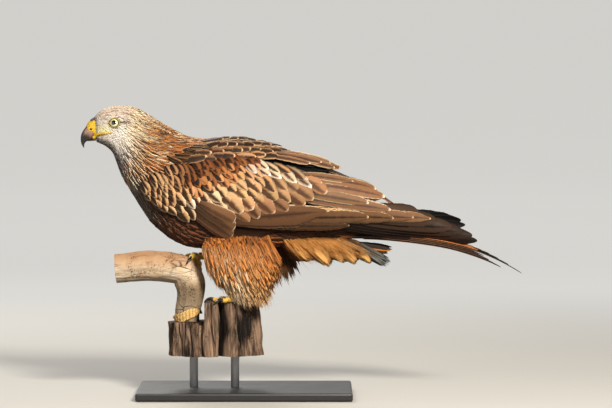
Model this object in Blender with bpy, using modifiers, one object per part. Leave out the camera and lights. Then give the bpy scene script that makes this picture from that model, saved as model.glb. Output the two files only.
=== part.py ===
"""A red kite, life size, as a still museum model on its perch and stand.

The bird looks along -X, its left side faces -Y and +Z is up. The origin is the middle of the
stand's underside. Lengths are in metres; tables are in millimetres and are scaled where they stand.
"""

import math
from typing import NamedTuple

import bmesh
import bpy
import numpy as np
from mathutils import Matrix, Vector

MM = 0.001
GAP = 0.3 * MM
LEFT, RIGHT = -1, 1
SIDE_NAMES = {LEFT: "left", RIGHT: "right"}

# The body's stations, from the bill's root to the tail's root: the x and z of the line along its back,
# the x and z of the line along its throat and belly, and half its width there.
BODY_STATIONS = MM * np.array([
    (-210, 391, -207.8, 355.5, 8.5),
    (-204, 397, -201, 353.5, 14.5),
    (-193, 403, -193, 349, 19),
    (-178, 406, -185, 341, 22.5),
    (-161, 405.5, -180, 329, 24.5),
    (-144, 399, -175, 316, 27),
    (-125, 386.5, -169, 304, 31),
    (-102, 372.5, -160, 290, 37),
    (-77, 361, -148, 271, 45),
    (-49, 358.5, -127, 241.5, 51),
    (-13, 358.5, -91, 215, 53),
    (24, 351.5, -42, 206, 52),
    (60, 341.5, 7, 206, 47),
    (98, 326, 55, 212, 39),
    (136, 303, 102, 219, 30),
    (168, 274, 147, 223, 22),
    (200, 248, 189, 226, 15),
])
HEAD_END, NECK_END, TORSO_END = 5.0, 8.0, 14.4
BODY_SIDES = 22

# The upper bill's stations in the same order, from the head to the hook's point.
BILL_STATIONS = MM * np.array([
    (-210.3, 389.5, -208.6, 362.6, 8.0),
    (-216.3, 386.0, -210.6, 361.2, 7.4),
    (-220.4, 380.8, -212.8, 360.0, 6.6),
    (-223.4, 375.6, -215.6, 358.8, 5.8),
    (-227.0, 370.6, -219.2, 357.6, 4.7),
    (-229.4, 364.6, -222.2, 356.4, 3.5),
    (-229.8, 357.7, -224.4, 353.8, 2.3),
    (-228.4, 352.0, -225.2, 350.8, 1.3),
    (-225.6, 347.6, -225.0, 347.9, 0.4),
])
CERE_END = 2.8
LOWER_BILL_STATIONS = MM * np.array([
    (-208.55, 362.2, -208.2, 356.2, 6.2),
    (-214.0, 359.2, -213.6, 355.0, 5.0),
    (-218.4, 357.4, -218.2, 354.6, 3.6),
    (-221.4, 355.9, -221.2, 354.8, 1.4),
])
BILL_SIDES = 14

NOSTRIL = MM * np.array((-218.6, 373.4))
NOSTRIL_RADIUS = 1.3 * MM
EYE_PLACE, EYE_TURN = 3.02, math.radians(77)
EYE_RADIUS, EYE_SUNK = 8.2 * MM, 5.6 * MM
LID_RADIUS, LID_THICKNESS = 6.4 * MM, 0.9 * MM
BROW_SIZE = MM * np.array((9.5, 3.0, 2.0))
BROW_OFFSET = MM * np.array((-1.5, 0.6, 7.6))
GAPE_START, GAPE_END = MM * np.array((-207.0, 361.4)), MM * np.array((-185.6, 368.4))
GAPE_WIDTH, GAPE_DEPTH = 0.8 * MM, 2.2 * MM

# The folded wing's outer surface: at each x, the middle height, half the height and the distance
# from the bird's middle plane, and what share of that distance is lost by the upper and lower edge.
WING_STATIONS = np.array([
    (-150, 297, 4, 33, 0.05, 0.05),
    (-140, 295, 14, 41, 0.06, 0.10),
    (-122, 291, 27, 51, 0.10, 0.16),
    (-98, 288, 36, 58, 0.15, 0.22),
    (-60, 284, 50, 62, 0.25, 0.28),
    (-7, 281, 59, 63, 0.38, 0.33),
    (49, 281, 53, 59, 0.49, 0.33),
    (105, 277, 46, 51, 0.53, 0.32),
    (161, 267, 38, 41, 0.55, 0.31),
    (217, 252, 28, 31, 0.52, 0.28),
    (273, 236, 17, 21.5, 0.42, 0.24),
    (325, 219, 8, 14, 0.20, 0.20),
]) * (MM, MM, MM, MM, 1, 1)
SHOULDER_COVER, SHOULDER_LOFT = 86, 4.6 * MM
WING_ARM_END = 112 * MM
WING_ARM_DEPTH, WING_END_DEPTH, WING_EDGE_DEPTH = 15 * MM, 9 * MM, 2.6 * MM
FAR_TIP_LIFT = 20 * MM

VANE_THICKNESS, VANE_TIP_THICKNESS = 0.9 * MM, 0.5 * MM
HANG_CAMBER, HANG_STAGGER = 0.06, 0.9 * MM
COLUMNS = np.array((-1.0, 0.0, 1.0))


class Tier(NamedTuple):
    """A row of like feathers. Roots and tips run in even steps between two places each, in millimetres.

    On the wing a place is (x, z). On the body it is (station, degrees from the back's middle line).
    """

    count: int
    first_root: tuple
    last_root: tuple
    first_tip: tuple
    last_tip: tuple
    widths: tuple
    root_lifts: tuple
    tip_lifts: tuple
    bow: float = 0.0
    rows: int = 3
    roll: float = 0.0


WING_TIERS = (
    Tier(7, (92, 249), (126, 268), (325, 219), (250, 257), (20, 24), (-8.2, -1.6), (-8.2, -1.6), -2, 5),
    Tier(4, (54, 246), (62, 264), (180, 243), (262, 248), (24, 24), (-1.6, 2.0), (-0.9, 2.7), 0, 4),
    Tier(4, (60, 264), (80, 312), (208, 264), (187, 287), (28, 26), (0.5, -2.0), (4.4, 1.4), 0, 4),
    Tier(7, (-52, 246), (52, 296), (-12, 223), (126, 276), (27, 22), (-2.2, -1.8), (2.2, 2.2), 0, 3, 0.9),
    Tier(6, (-86, 266), (34, 318), (-50, 238), (92, 292), (24, 24), (-2.0, -2.0), (2.6, 2.4), 0, 3, 0.9),
    Tier(6, (-120, 288), (2, 332), (-92, 258), (50, 312), (21, 22), (-2.0, -2.0), (2.6, 2.6), 0, 3, 0.9),
)
SCAPULAR_TIERS = (
    Tier(4, (8.7, 48), (12.0, 50), (10.1, 58), (13.9, 64), (24, 24), (-2.2, -2.2), (2.2, 2.6), 0, 3, 0.8),
    Tier(4, (8.5, 22), (11.9, 26), (9.8, 30), (13.6, 36), (25, 24), (-2.2, -2.2), (2.0, 2.6), 0, 3, 0.8),
    Tier(2, (8.6, 8), (10.8, 9), (9.9, 11), (12.4, 12), (24, 24), (-2.2, -2.2), (2.0, 2.4), 0, 3, 0.8),
)


class Hang(NamedTuple):
    """A row of loose feathers that hang in the air, from first to last, in millimetres.

    Each place is (x, distance from the bird's middle plane, z), and bow pushes the middle outwards.
    """

    count: int
    first_root: tuple
    last_root: tuple
    first_tip: tuple
    last_tip: tuple
    widths: tuple
    bow: float


VENT_FEATHERS = (
    Hang(5, (72, 15, 221), (109, 12, 220), (108, 20, 188), (205, 11, 185), (25, 19), 3),
    Hang(3, (60, 5, 215), (98, 5, 218), (94, 7, 189), (180, 5, 184), (24, 19), 0),
)
THIGH_FEATHERS = {
    LEFT: (
        Hang(4, (-18, 50, 190), (32, 42, 196), (-14, 44, 150), (58, 40, 148), (22, 22), 3),
        Hang(4, (-8, 44, 168), (22, 38, 166), (4, 42, 124), (36, 36, 133), (15, 15), 2),
        Hang(3, (6, 16, 168), (26, 22, 168), (16, 13, 126), (40, 20, 136), (15, 15), -2),
    ),
    RIGHT: (
        Hang(4, (4, 49, 196), (46, 42, 202), (22, 44, 158), (74, 40, 166), (22, 22), 3),
        Hang(3, (8, 40, 190), (28, 38, 188), (34, 38, 148), (62, 36, 150), (17, 17), 2),
        Hang(2, (14, 20, 188), (26, 22, 186), (42, 14, 150), (62, 20, 156), (17, 17), -2),
    ),
}
# The feathered thighs: at each level the x, the distance from the middle plane and z of the middle,
# then half the length along x and half the width.
THIGH_STATIONS = {
    LEFT: MM * np.array([
        (-10, 27, 232, 44, 17),
        (-11, 31, 212, 49, 20),
        (-8, 32, 193, 45, 20),
        (-4, 31, 176, 34, 17),
        (0, 30, 161, 24, 13),
        (6, 29, 151, 12, 9),
    ]),
    RIGHT: MM * np.array([
        (-4, 27, 232, 36, 17),
        (-4, 30, 218, 38, 19),
        (-3, 31, 206, 34, 19),
        (0, 31, 196, 28, 16),
        (6, 30, 187, 19, 12),
        (12, 29, 180, 10, 8),
    ]),
}
THIGH_SIDES = 14

TAIL_ROOT_X = 152 * MM
TAIL_CORE_START, TAIL_CORE_END = 118 * MM, 236 * MM
TAIL_CORE_WIDTHS = 14 * MM, 24 * MM
TAIL_RIDGE_Z, TAIL_SLOPE, TAIL_DROOP = 231.5 * MM, -0.16, 0.2
TAIL_ROOF, TAIL_TILT = 5.0, 0.1
TAIL_PAIRS = 6
TAIL_OUTER_LENGTH, TAIL_FORK = 238 * MM, 62 * MM
TAIL_ROOT_SPREAD, TAIL_TIP_SPREAD = 8 * MM, 27 * MM
TAIL_VANE_WIDTH = 23 * MM
TAIL_LAYER = 0.82 * MM


class Leg(NamedTuple):
    """A leg below the feathers, in metres: its heel, its foot's middle and how its toes lie."""

    heel: tuple
    foot: tuple
    toe_turns: tuple
    toe_lengths: tuple
    floor: str


LEGS = {
    LEFT: Leg(
        (11 * MM, -28 * MM, 178 * MM), (-7 * MM, -22 * MM, 138.5 * MM),
        (2, 38, -34, 172), (37 * MM, 29 * MM, 29 * MM, 22 * MM), "post",
    ),
    RIGHT: Leg(
        (-14 * MM, 31 * MM, 190 * MM), (-66 * MM, 25 * MM, 195 * MM),
        (6, -72, 60, 128), (38 * MM, 32 * MM, 34 * MM, 25 * MM), "branch",
    ),
}
TARSUS_RADIUS, TOE_RADIUS, TOE_TIP_RADIUS = 4.6 * MM, 4.4 * MM, 3.2 * MM
CLAW_LENGTH, CLAW_RADIUS = 15 * MM, 2.2 * MM
CLAW_ARCH = (28, -62)
TOE_NAMES = ("middle", "inner", "outer", "hind")

POST_TOP, POST_BOTTOM, POST_STEP = 133 * MM, 57 * MM, 104 * MM
POST_CENTRE, POST_HALF = MM * np.array((-45, -1)), MM * np.array((63, 37))
POST_STEP_EDGE = -55 * MM
POST_SIDES = 30
# The dead branch's middle line and radius, from the sawn end round the elbow to where it meets the post.
BRANCH_STATIONS = MM * np.array([
    (-182, 178, 20.5),
    (-158, 180, 21),
    (-132, 181.5, 21.8),
    (-106, 179, 21.8),
    (-86, 173, 21.5),
    (-77, 156, 21),
    (-78, 134, 18.5),
    (-81, 118, 17.5),
    (-81.5, 104.4, 17.5),
])
ELBOW = MM * np.array((-82, 174))
ELBOW_RADIUS = 21.6 * MM
BRANCH_Y = 10 * MM
BRANCH_POINTS, BRANCH_SIDES = 20, 12
BINDING_HEIGHTS = (106 * MM, 120 * MM)
BINDING_TILT, BINDING_THICKNESS = math.radians(-24), 2.4 * MM

BASE_SIZE = MM * np.array((300, 190, 12))
BASE_BEVEL = 3 * MM
ROD_RADIUS = 6 * MM
ROD_PLACES = MM * np.array([(-72, 4), (-14, -4)])


def clear_scene():
    """Takes everything out of the scene that Blender starts with."""
    for thing in list(bpy.data.objects):
        bpy.data.objects.remove(thing)


def make_material(name, colour, roughness, metallic=0.0):
    """A plain finish of one colour."""
    finish = bpy.data.materials.new(name)
    finish.use_nodes = True
    shader = finish.node_tree.nodes["Principled BSDF"]
    shader.inputs["Base Color"].default_value = (*colour, 1.0)
    shader.inputs["Roughness"].default_value = roughness
    shader.inputs["Metallic"].default_value = metallic
    return finish


def make_collection(name):
    """A new collection under the scene's own."""
    made = bpy.data.collections.new(name)
    bpy.context.scene.collection.children.link(made)
    return made


def mesh_object(name, vertices, faces, collection):
    """A mesh object whose faces all point outwards."""
    mesh = bpy.data.meshes.new(name)
    mesh.from_pydata([tuple(v) for v in vertices], [], [tuple(f) for f in faces])
    shape = bmesh.new()
    shape.from_mesh(mesh)
    bmesh.ops.recalc_face_normals(shape, faces=shape.faces)
    shape.to_mesh(mesh)
    shape.free()
    made = bpy.data.objects.new(name, mesh)
    collection.objects.link(made)
    return made


def finish_node(node, material, smooth_angle=40):
    """Gives a node its finish and its shading."""
    node.data.materials.clear()
    node.data.materials.append(material)
    node.data.shade_smooth()
    node.data.set_sharp_from_angle(angle=math.radians(smooth_angle))
    return node


def read_mesh(shape):
    """The mesh that an object shows once its modifiers have run."""
    bpy.context.view_layer.update()
    graph = bpy.context.evaluated_depsgraph_get()
    return bpy.data.meshes.new_from_object(shape.evaluated_get(graph))


def keep_largest(node):
    """Leaves a node only its largest closed surface."""
    shape = bmesh.new()
    shape.from_mesh(node.data)
    unseen = set(shape.faces)
    groups = []
    while unseen:
        group, edge_of_search = set(), [unseen.pop()]
        while edge_of_search:
            face = edge_of_search.pop()
            group.add(face)
            for edge in face.edges:
                for other in edge.link_faces:
                    if other in unseen:
                        unseen.remove(other)
                        edge_of_search.append(other)
        groups.append(group)
    largest = max(groups, key=lambda group: sum(face.calc_area() for face in group))
    dropped = [face for group in groups if group is not largest for face in group]
    bmesh.ops.delete(shape, geom=dropped, context="FACES")
    shape.to_mesh(node.data)
    shape.free()


def combine(node, others, operation):
    """Joins other closed shapes to a node, or cuts them out of it, and removes them."""
    group = make_collection("pieces")
    for other in others:
        for held_by in list(other.users_collection):
            held_by.objects.unlink(other)
        group.objects.link(other)
    step = node.modifiers.new(operation.title(), "BOOLEAN")
    step.operation = operation
    step.operand_type = "COLLECTION"
    step.collection = group
    step.solver = "MANIFOLD"
    node.data = read_mesh(node)
    node.modifiers.clear()
    for other in others:
        bpy.data.objects.remove(other)
    bpy.data.collections.remove(group)
    keep_largest(node)
    return node


def smooth(rows, place):
    """Table rows read at a fractional row number, along a curve that passes through every row."""
    last = len(rows) - 1
    place = np.clip(np.asarray(place, float), 0, last)
    low = np.minimum(np.floor(place).astype(int), last - 1)
    share = (place - low)[..., None]
    before, start, end, after = (rows[np.clip(low + step, 0, last)] for step in (-1, 0, 1, 2))
    return 0.5 * (
        2 * start
        + (end - before) * share
        + (2 * before - 5 * start + 4 * end - after) * share**2
        + (3 * start - before - 3 * end + after) * share**3
    )


def section_point(stations, place, turn, lift=0.0):
    """A place on a body with a top line, a bottom line and a width, raised by lift.

    turn is the angle round the section from its top, positive towards the bird's right.
    """
    row = smooth(stations, place)
    top, bottom, half_width = row[..., 0:2], row[..., 2:4], row[..., 4]
    centre, rise = (top + bottom) / 2, (top - bottom) / 2
    half_height = np.linalg.norm(rise, axis=-1)
    up = rise / half_height[..., None]
    reach = (half_height + lift) * np.cos(turn)
    across = (half_width + lift) * np.sin(turn)
    return np.stack([centre[..., 0] + up[..., 0] * reach, across, centre[..., 1] + up[..., 1] * reach], axis=-1)


def normals_on(surface, first, second, outward):
    """Unit normals of a surface of two numbers, turned the way that outward says."""
    step = 1e-3
    along = surface(first + step, second) - surface(first - step, second)
    across = surface(first, second + step) - surface(first, second - step)
    normal = np.cross(along, across) * outward
    return normal / np.linalg.norm(normal, axis=-1, keepdims=True)


def loft(name, rings, collection):
    """A closed shape whose skin runs through rings of equally many points, with flat ends."""
    rings = np.asarray(rings)
    count, sides = rings.shape[:2]
    faces = [
        (
            ring * sides + side,
            ring * sides + (side + 1) % sides,
            (ring + 1) * sides + (side + 1) % sides,
            (ring + 1) * sides + side,
        )
        for ring in range(count - 1)
        for side in range(sides)
    ]
    faces.append(tuple(range(sides)))
    faces.append(tuple(range((count - 1) * sides, count * sides)))
    return mesh_object(name, rings.reshape(-1, 3), faces, collection)


def section_loft(name, stations, places, sides, collection, lift=0.0):
    """A loft through the sections of a station table at these places."""
    turns = np.linspace(0, 2 * math.pi, sides, endpoint=False)
    rings = [section_point(stations, np.full(sides, place), turns, lift) for place in places]
    return loft(name, rings, collection)


def seam(stations, place):
    """The place after a cut at this one, far enough along to leave the gap between two nodes."""
    step = 0.01
    near, far = smooth(stations, place), smooth(stations, place + step)
    closest = min(np.linalg.norm((far - near)[0:2]), np.linalg.norm((far - near)[2:4]))
    return place + step * GAP / closest


def tube(name, points, radii, sides, collection):
    """A round bar along points, as a curve with filled caps turned into a closed mesh."""
    line = bpy.data.curves.new(name, "CURVE")
    line.dimensions = "3D"
    line.bevel_depth = 1.0
    line.bevel_resolution = sides // 4
    line.use_fill_caps = True
    spline = line.splines.new("POLY")
    spline.points.add(len(points) - 1)
    for knot, place, radius in zip(spline.points, points, radii, strict=True):
        knot.co = (*place, 1.0)
        knot.radius = radius
    guide = bpy.data.objects.new(name, line)
    collection.objects.link(guide)
    mesh = read_mesh(guide)
    bpy.data.objects.remove(guide)
    shape = bmesh.new()
    shape.from_mesh(mesh)
    bmesh.ops.remove_doubles(shape, verts=shape.verts, dist=1e-6)
    bmesh.ops.recalc_face_normals(shape, faces=shape.faces)
    shape.to_mesh(mesh)
    shape.free()
    made = bpy.data.objects.new(name, mesh)
    collection.objects.link(made)
    return made


def ball(name, centre, radius, collection, scale=(1, 1, 1), turn=None, segments=16):
    """A sphere or, with a scale, an egg shape."""
    mesh = bpy.data.meshes.new(name)
    shape = bmesh.new()
    bmesh.ops.create_uvsphere(shape, u_segments=segments, v_segments=segments // 2 + 2, radius=radius)
    place = Matrix.Translation(Vector(centre)) @ (turn or Matrix.Identity(4)) @ Matrix.Diagonal((*scale, 1))
    bmesh.ops.transform(shape, matrix=place, verts=shape.verts)
    shape.to_mesh(mesh)
    shape.free()
    made = bpy.data.objects.new(name, mesh)
    collection.objects.link(made)
    return made


def block(name, low, high, collection):
    """A box between two corners."""
    mesh = bpy.data.meshes.new(name)
    shape = bmesh.new()
    bmesh.ops.create_cube(shape, size=1.0)
    low, high = Vector(low), Vector(high)
    place = Matrix.Translation((low + high) / 2) @ Matrix.Diagonal((*(high - low), 1))
    bmesh.ops.transform(shape, matrix=place, verts=shape.verts)
    shape.to_mesh(mesh)
    shape.free()
    made = bpy.data.objects.new(name, mesh)
    collection.objects.link(made)
    return made


def vane_profile(share):
    """How wide a feather is along its length, from its narrow root to its rounded tip."""
    swell = 0.5 + 0.5 * np.sin(np.pi / 2 * np.minimum(share / 0.6, 1))
    closing = np.clip((share - 0.6) / 0.425, 0, 1)
    return swell * np.sqrt(1 - closing**2)


def plate(name, upper, lower, collection):
    """A closed thin plate between two grids of points, three across, split alike on both faces."""
    rows = len(upper)
    vertices = np.concatenate([upper.reshape(-1, 3), lower.reshape(-1, 3)])
    under = rows * 3
    faces = []
    for row in range(rows - 1):
        for column in range(2):
            near = row * 3 + column
            far = near + 3
            faces += [(near, far, far + 1), (near, far + 1, near + 1)]
            faces += [(under + near, under + far + 1, under + far)]
            faces += [(under + near, under + near + 1, under + far + 1)]
        for edge in (row * 3, row * 3 + 2):
            faces.append((edge, edge + 3, under + edge + 3, under + edge))
    for end in (0, (rows - 1) * 3):
        faces += [(end + column, end + column + 1, under + end + column + 1, under + end + column)
                  for column in range(2)]
    return mesh_object(name, vertices, faces, collection)


def hanging_vane(path, outward, width, collection, grow=0.0):
    """A feather that hangs in the air along a path, highest along its shaft."""
    share = np.linspace(0, 1, len(path))
    half = width / 2 * vane_profile(share) + grow
    thickness = VANE_THICKNESS + (VANE_TIP_THICKNESS - VANE_THICKNESS) * share + 2 * grow
    across = np.cross(outward, np.gradient(path, axis=0))
    across /= np.linalg.norm(across, axis=1, keepdims=True)
    upper = path[:, None] + across[:, None] * (half[:, None] * COLUMNS)[..., None]
    upper += outward * ((HANG_CAMBER * half + grow)[:, None] * (1 - COLUMNS**2))[..., None]
    return plate("vane", upper, upper - outward * thickness[:, None, None], collection)


def slope_of(surface, first, second):
    """How a surface of two numbers moves with each of them."""
    step = 1e-3
    along = surface(first + step, second, 0.0) - surface(first - step, second, 0.0)
    across = surface(first, second + step, 0.0) - surface(first, second - step, 0.0)
    return along / (2 * step), across / (2 * step)


def lying_vane(surface, first, second, lift, width, roll, collection):
    """A feather that lies on a surface of two numbers and a lift, along a path of those numbers.

    roll raises one edge and lowers the other, so that neighbours lie over one another like tiles.
    """
    share = np.linspace(0, 1, len(first))
    half = width / 2 * vane_profile(share)
    along, across = slope_of(surface, first, second)
    ahead = np.gradient(surface(first, second, lift), axis=0)
    aside = np.cross(np.cross(along, across), ahead)
    aside /= np.linalg.norm(aside, axis=1, keepdims=True)
    squares = [np.sum(one * other, axis=1) for one, other in ((along, along), (along, across), (across, across))]
    pulls = np.sum(aside * along, axis=1), np.sum(aside * across, axis=1)
    whole = squares[0] * squares[2] - squares[1] ** 2
    step_first = (pulls[0] * squares[2] - pulls[1] * squares[1]) / whole
    step_second = (pulls[1] * squares[0] - pulls[0] * squares[1]) / whole
    reach = half[:, None] * COLUMNS
    firsts = first[:, None] + reach * step_first[:, None]
    seconds = second[:, None] + reach * step_second[:, None]
    top = lift[:, None] + roll * COLUMNS * share[:, None]
    thickness = VANE_THICKNESS + (VANE_TIP_THICKNESS - VANE_THICKNESS) * share[:, None]
    upper = surface(firsts, seconds, top)
    return plate("vane", upper, surface(firsts, seconds, top - thickness), collection)


def steps(first, last, count):
    """Evenly spaced values between two tuples."""
    share = np.linspace(0, 1, count)[:, None] if count > 1 else np.zeros((1, 1))
    return np.asarray(first, float) * (1 - share) + np.asarray(last, float) * share


def tier_vanes(tier, surface, unit, collection):
    """The vanes of a tier, laid on a surface of two numbers and a lift."""
    roots = steps(tier.first_root, tier.last_root, tier.count) * unit
    tips = steps(tier.first_tip, tier.last_tip, tier.count) * unit
    widths = steps(tier.widths[:1], tier.widths[1:], tier.count)[:, 0] * MM
    root_lifts, tip_lifts = (
        steps(ends[:1], ends[1:], tier.count)[:, 0] * MM for ends in (tier.root_lifts, tier.tip_lifts)
    )
    share = np.linspace(0, 1, tier.rows)
    made = []
    for i in range(tier.count):
        place = roots[i] + (tips[i] - roots[i]) * share[:, None]
        place[:, 1] -= tier.bow * unit[1] * np.sin(np.pi * share)
        lift = root_lifts[i] + (tip_lifts[i] - root_lifts[i]) * np.minimum(share * 1.6, 1)
        roll = tier.roll * MM * np.sign(unit[1])
        made.append(lying_vane(surface, place[:, 0], place[:, 1], lift, widths[i], roll, collection))
    return made


def hanging_vanes(row, side, collection, grow=0.0):
    """The vanes of a row of loose feathers on one side of the bird."""
    scale = MM * np.array((1, side, 1))
    roots = steps(row.first_root, row.last_root, row.count) * scale
    tips = steps(row.first_tip, row.last_tip, row.count) * scale
    widths = steps(row.widths[:1], row.widths[1:], row.count)[:, 0] * MM
    share = np.linspace(0, 1, 4)
    made = []
    for number, (root, tip, width) in enumerate(zip(roots, tips, widths, strict=True)):
        path = root + (tip - root) * share[:, None]
        path[:, 1] += side * (row.bow * MM * np.sin(np.pi * share) + HANG_STAGGER * (-1) ** number)
        made.append(hanging_vane(path, np.array((0.0, side, 0.0)), width, collection, grow))
    return made


def body_surface(place, turn, lift=0.0):
    """A place on the feathered body."""
    return section_point(BODY_STATIONS, place, turn, lift)


def wing_row(x):
    """The rest of the wing's station at this x."""
    stations = WING_STATIONS[:, 0]
    place = np.interp(x, stations, np.arange(len(stations)))
    return smooth(WING_STATIONS, place)[..., 1:]


def wing_surface(side):
    """The outer surface of one folded wing, as a function of x, z and lift."""
    lift_at_tip = FAR_TIP_LIFT if side == RIGHT else 0.0
    start, length = WING_STATIONS[0, 0], np.ptp(WING_STATIONS[:, 0])

    def surface(x, z, lift=0.0):
        row = wing_row(x)
        off_middle = np.clip((z - row[..., 0]) / row[..., 1], -1.3, 1.3)
        sag = np.where(off_middle > 0, row[..., 3], row[..., 4])
        out = row[..., 2] * (1 - sag * off_middle**2) + lift
        raised = z + lift_at_tip * ((x - start) / length) ** 3
        return np.stack([x, side * out, raised], axis=-1)

    return surface


def build_head(parts):
    """The feathered head with its eye sockets, lids, brows and the line of its mouth."""
    node = section_loft("head", BODY_STATIONS, np.linspace(0, HEAD_END, 11), BODY_SIDES, parts)
    added, cutters = [], []
    for side in (LEFT, RIGHT):
        centre, outward = eye_seat(side)
        face_out = outward.to_track_quat("Z", "Y").to_matrix().to_4x4()
        rim = centre + outward * (EYE_SUNK - 0.2 * MM)
        angles = np.linspace(0, 2 * math.pi, 15)
        ring = [rim + face_out @ Vector((math.cos(a), math.sin(a), 0)) * LID_RADIUS for a in angles[:-1]]
        added.append(closed_ring("lid", ring, LID_THICKNESS, outward, parts))
        brow = rim + Vector((BROW_OFFSET[0], side * BROW_OFFSET[1], BROW_OFFSET[2]))
        added.append(ball("brow", brow, 1.0, parts, scale=BROW_SIZE, segments=8))
        cutters.append(ball("socket", centre, EYE_RADIUS + GAP, parts, segments=12))
        cutters.append(mouth_cutter(side, parts))
    combine(node, added, "UNION")
    return combine(node, cutters, "DIFFERENCE")


def closed_ring(name, centres, radius, axis, collection):
    """A ring of round bar through these middles, whose hole looks along axis."""
    centres = [Vector(c) for c in centres]
    middle = sum(centres, Vector()) / len(centres)
    sides = 5
    rings = []
    for place in centres:
        out = (place - middle).normalized()
        rings.append([
            place + out * radius * math.cos(a) + axis * radius * math.sin(a)
            for a in np.linspace(0, 2 * math.pi, sides, endpoint=False)
        ])
    count = len(rings)
    faces = [
        (
            ring * sides + k,
            ring * sides + (k + 1) % sides,
            (ring + 1) % count * sides + (k + 1) % sides,
            (ring + 1) % count * sides + k,
        )
        for ring in range(count)
        for k in range(sides)
    ]
    return mesh_object(name, [v for ring in rings for v in ring], faces, collection)


def eye_seat(side):
    """The middle of an eyeball, and the way that the eye looks."""
    place, turn = np.array(EYE_PLACE), np.array(side * EYE_TURN)
    surface = Vector(body_surface(place, turn))
    outward = Vector(normals_on(body_surface, place, turn, 1.0))
    return surface - outward * EYE_SUNK, outward


def mouth_cutter(side, collection):
    """A thin wedge that cuts the mouth's line into one side of the head."""
    points = []
    for share in np.linspace(0, 1, 4):
        x, z = GAPE_START + (GAPE_END - GAPE_START) * share
        points.append((x, z - 1.6 * MM * math.sin(math.pi * share)))
    rows = []
    for x, z in points:
        outside = 24 * MM
        inside = head_half_width(x, z) - GAPE_DEPTH
        rows.append([
            (x, side * inside, z),
            (x, side * outside, z - GAPE_WIDTH),
            (x, side * outside, z + GAPE_WIDTH),
        ])
    return loft("mouth", rows, collection)


def head_half_width(x, z):
    """How far the head's side is from the middle plane at this x and z."""
    places, turns = np.meshgrid(np.linspace(0, HEAD_END, 120), np.linspace(0, math.pi, 120), indexing="ij")
    points = body_surface(places, turns)
    nearest = np.argmin((points[..., 0] - x) ** 2 + (points[..., 2] - z) ** 2)
    return points.reshape(-1, 3)[nearest, 1]


def build_eyes(parts):
    """Two eyeballs, each a little flattened ball in its socket."""
    made = []
    for side in (LEFT, RIGHT):
        centre, _ = eye_seat(side)
        made.append(ball(f"eye_{SIDE_NAMES[side]}", centre, EYE_RADIUS, parts, segments=12))
    return made


def build_bill(parts):
    """The cere with its nostrils, the hooked upper bill and the lower bill."""
    cere = section_loft("cere", BILL_STATIONS, np.linspace(0, CERE_END, 5), BILL_SIDES, parts)
    nostrils = [
        ball("nostril", (NOSTRIL[0], side * 6.4 * MM, NOSTRIL[1]), NOSTRIL_RADIUS, parts,
             scale=(1.3, 1.5, 0.9), segments=8)
        for side in (LEFT, RIGHT)
    ]
    combine(cere, nostrils, "DIFFERENCE")
    hook_places = np.linspace(seam(BILL_STATIONS, CERE_END), len(BILL_STATIONS) - 1, 9)
    upper = section_loft("bill_upper", BILL_STATIONS, hook_places, BILL_SIDES, parts)
    lower_places = np.linspace(0, len(LOWER_BILL_STATIONS) - 1, 5)
    lower = section_loft("bill_lower", LOWER_BILL_STATIONS, lower_places, BILL_SIDES, parts)
    return cere, upper, lower


def neck_places():
    """Where the neck's sections stand, between its two thin cuts."""
    return np.linspace(seam(BODY_STATIONS, HEAD_END), NECK_END, 6)


def torso_places():
    """Where the torso's sections stand."""
    return np.linspace(seam(BODY_STATIONS, NECK_END), TORSO_END, 12)


def build_neck(parts):
    """The neck, a plain length of the body."""
    return section_loft("neck", BODY_STATIONS, neck_places(), BODY_SIDES, parts)


def body_room(parts, loft_over_back=0.0):
    """The room that the neck and torso take up with the gap round them.

    Over the back it can be raised, so that a wing is cut clear of the shoulder feathers too.
    """
    turns = np.linspace(0, 2 * math.pi, BODY_SIDES, endpoint=False)
    off_back = np.abs((turns + math.pi) % (2 * math.pi) - math.pi)
    covered = np.clip((math.radians(SHOULDER_COVER) - off_back) / math.radians(14), 0, 1)
    rings = []
    for place in (*neck_places()[1:], *torso_places(), seam(BODY_STATIONS, TORSO_END)):
        share = np.clip((place - NECK_END) * 3, 0, 1)
        rings.append(body_surface(np.full(BODY_SIDES, place), turns, GAP + loft_over_back * covered * share))
    return loft("room", rings, parts)


def build_torso(parts):
    """The torso with the shoulder feathers along the back and those round the vent."""
    node = section_loft("torso", BODY_STATIONS, torso_places(), BODY_SIDES, parts)
    pieces = shoulder_feathers(parts)
    for side in (LEFT, RIGHT):
        for row in VENT_FEATHERS:
            pieces += hanging_vanes(row, side, parts)
    return combine(node, pieces, "UNION")


def shoulder_feathers(parts):
    """The mantle and scapular vanes of both sides."""
    made = []
    for side in (LEFT, RIGHT):
        for tier in SCAPULAR_TIERS:
            unit = np.array((1.0, side * math.pi / 180))
            made += tier_vanes(tier, body_surface, unit, parts)
    return made


def wing_arm(side, parts):
    """The closed arm of a wing, from the wrist to where the long feathers stand free."""
    surface = wing_surface(side)
    fractions = np.sin(np.linspace(-math.pi / 2, math.pi / 2, 9))
    front = WING_STATIONS[0, 0]
    rings = []
    for share in np.linspace(0, 1, 14) ** 1.25:
        x = front + (WING_ARM_END - front) * share
        middle, half = wing_row(x)[:2]
        z = middle + half * fractions
        middle_depth = WING_ARM_DEPTH + (WING_END_DEPTH - WING_ARM_DEPTH) * share
        depth = WING_EDGE_DEPTH + (middle_depth - WING_EDGE_DEPTH) * (1 - fractions**2)
        outer = surface(np.full_like(z, x), z)
        inner = surface(np.full_like(z, x), z, -depth)[::-1]
        rings.append(np.concatenate([outer, inner]))
    return loft(f"wing_{SIDE_NAMES[side]}", rings, parts)


def build_wing(side, parts):
    """A folded wing: the arm, and its feathers as overlapping vanes in tiers."""
    node = wing_arm(side, parts)
    surface = wing_surface(side)
    vanes = []
    for tier in WING_TIERS:
        vanes += tier_vanes(tier, surface, np.array((MM, MM)), parts)
    combine(node, vanes, "UNION")
    return combine(node, [body_room(parts, SHOULDER_LOFT)], "DIFFERENCE")


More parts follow.
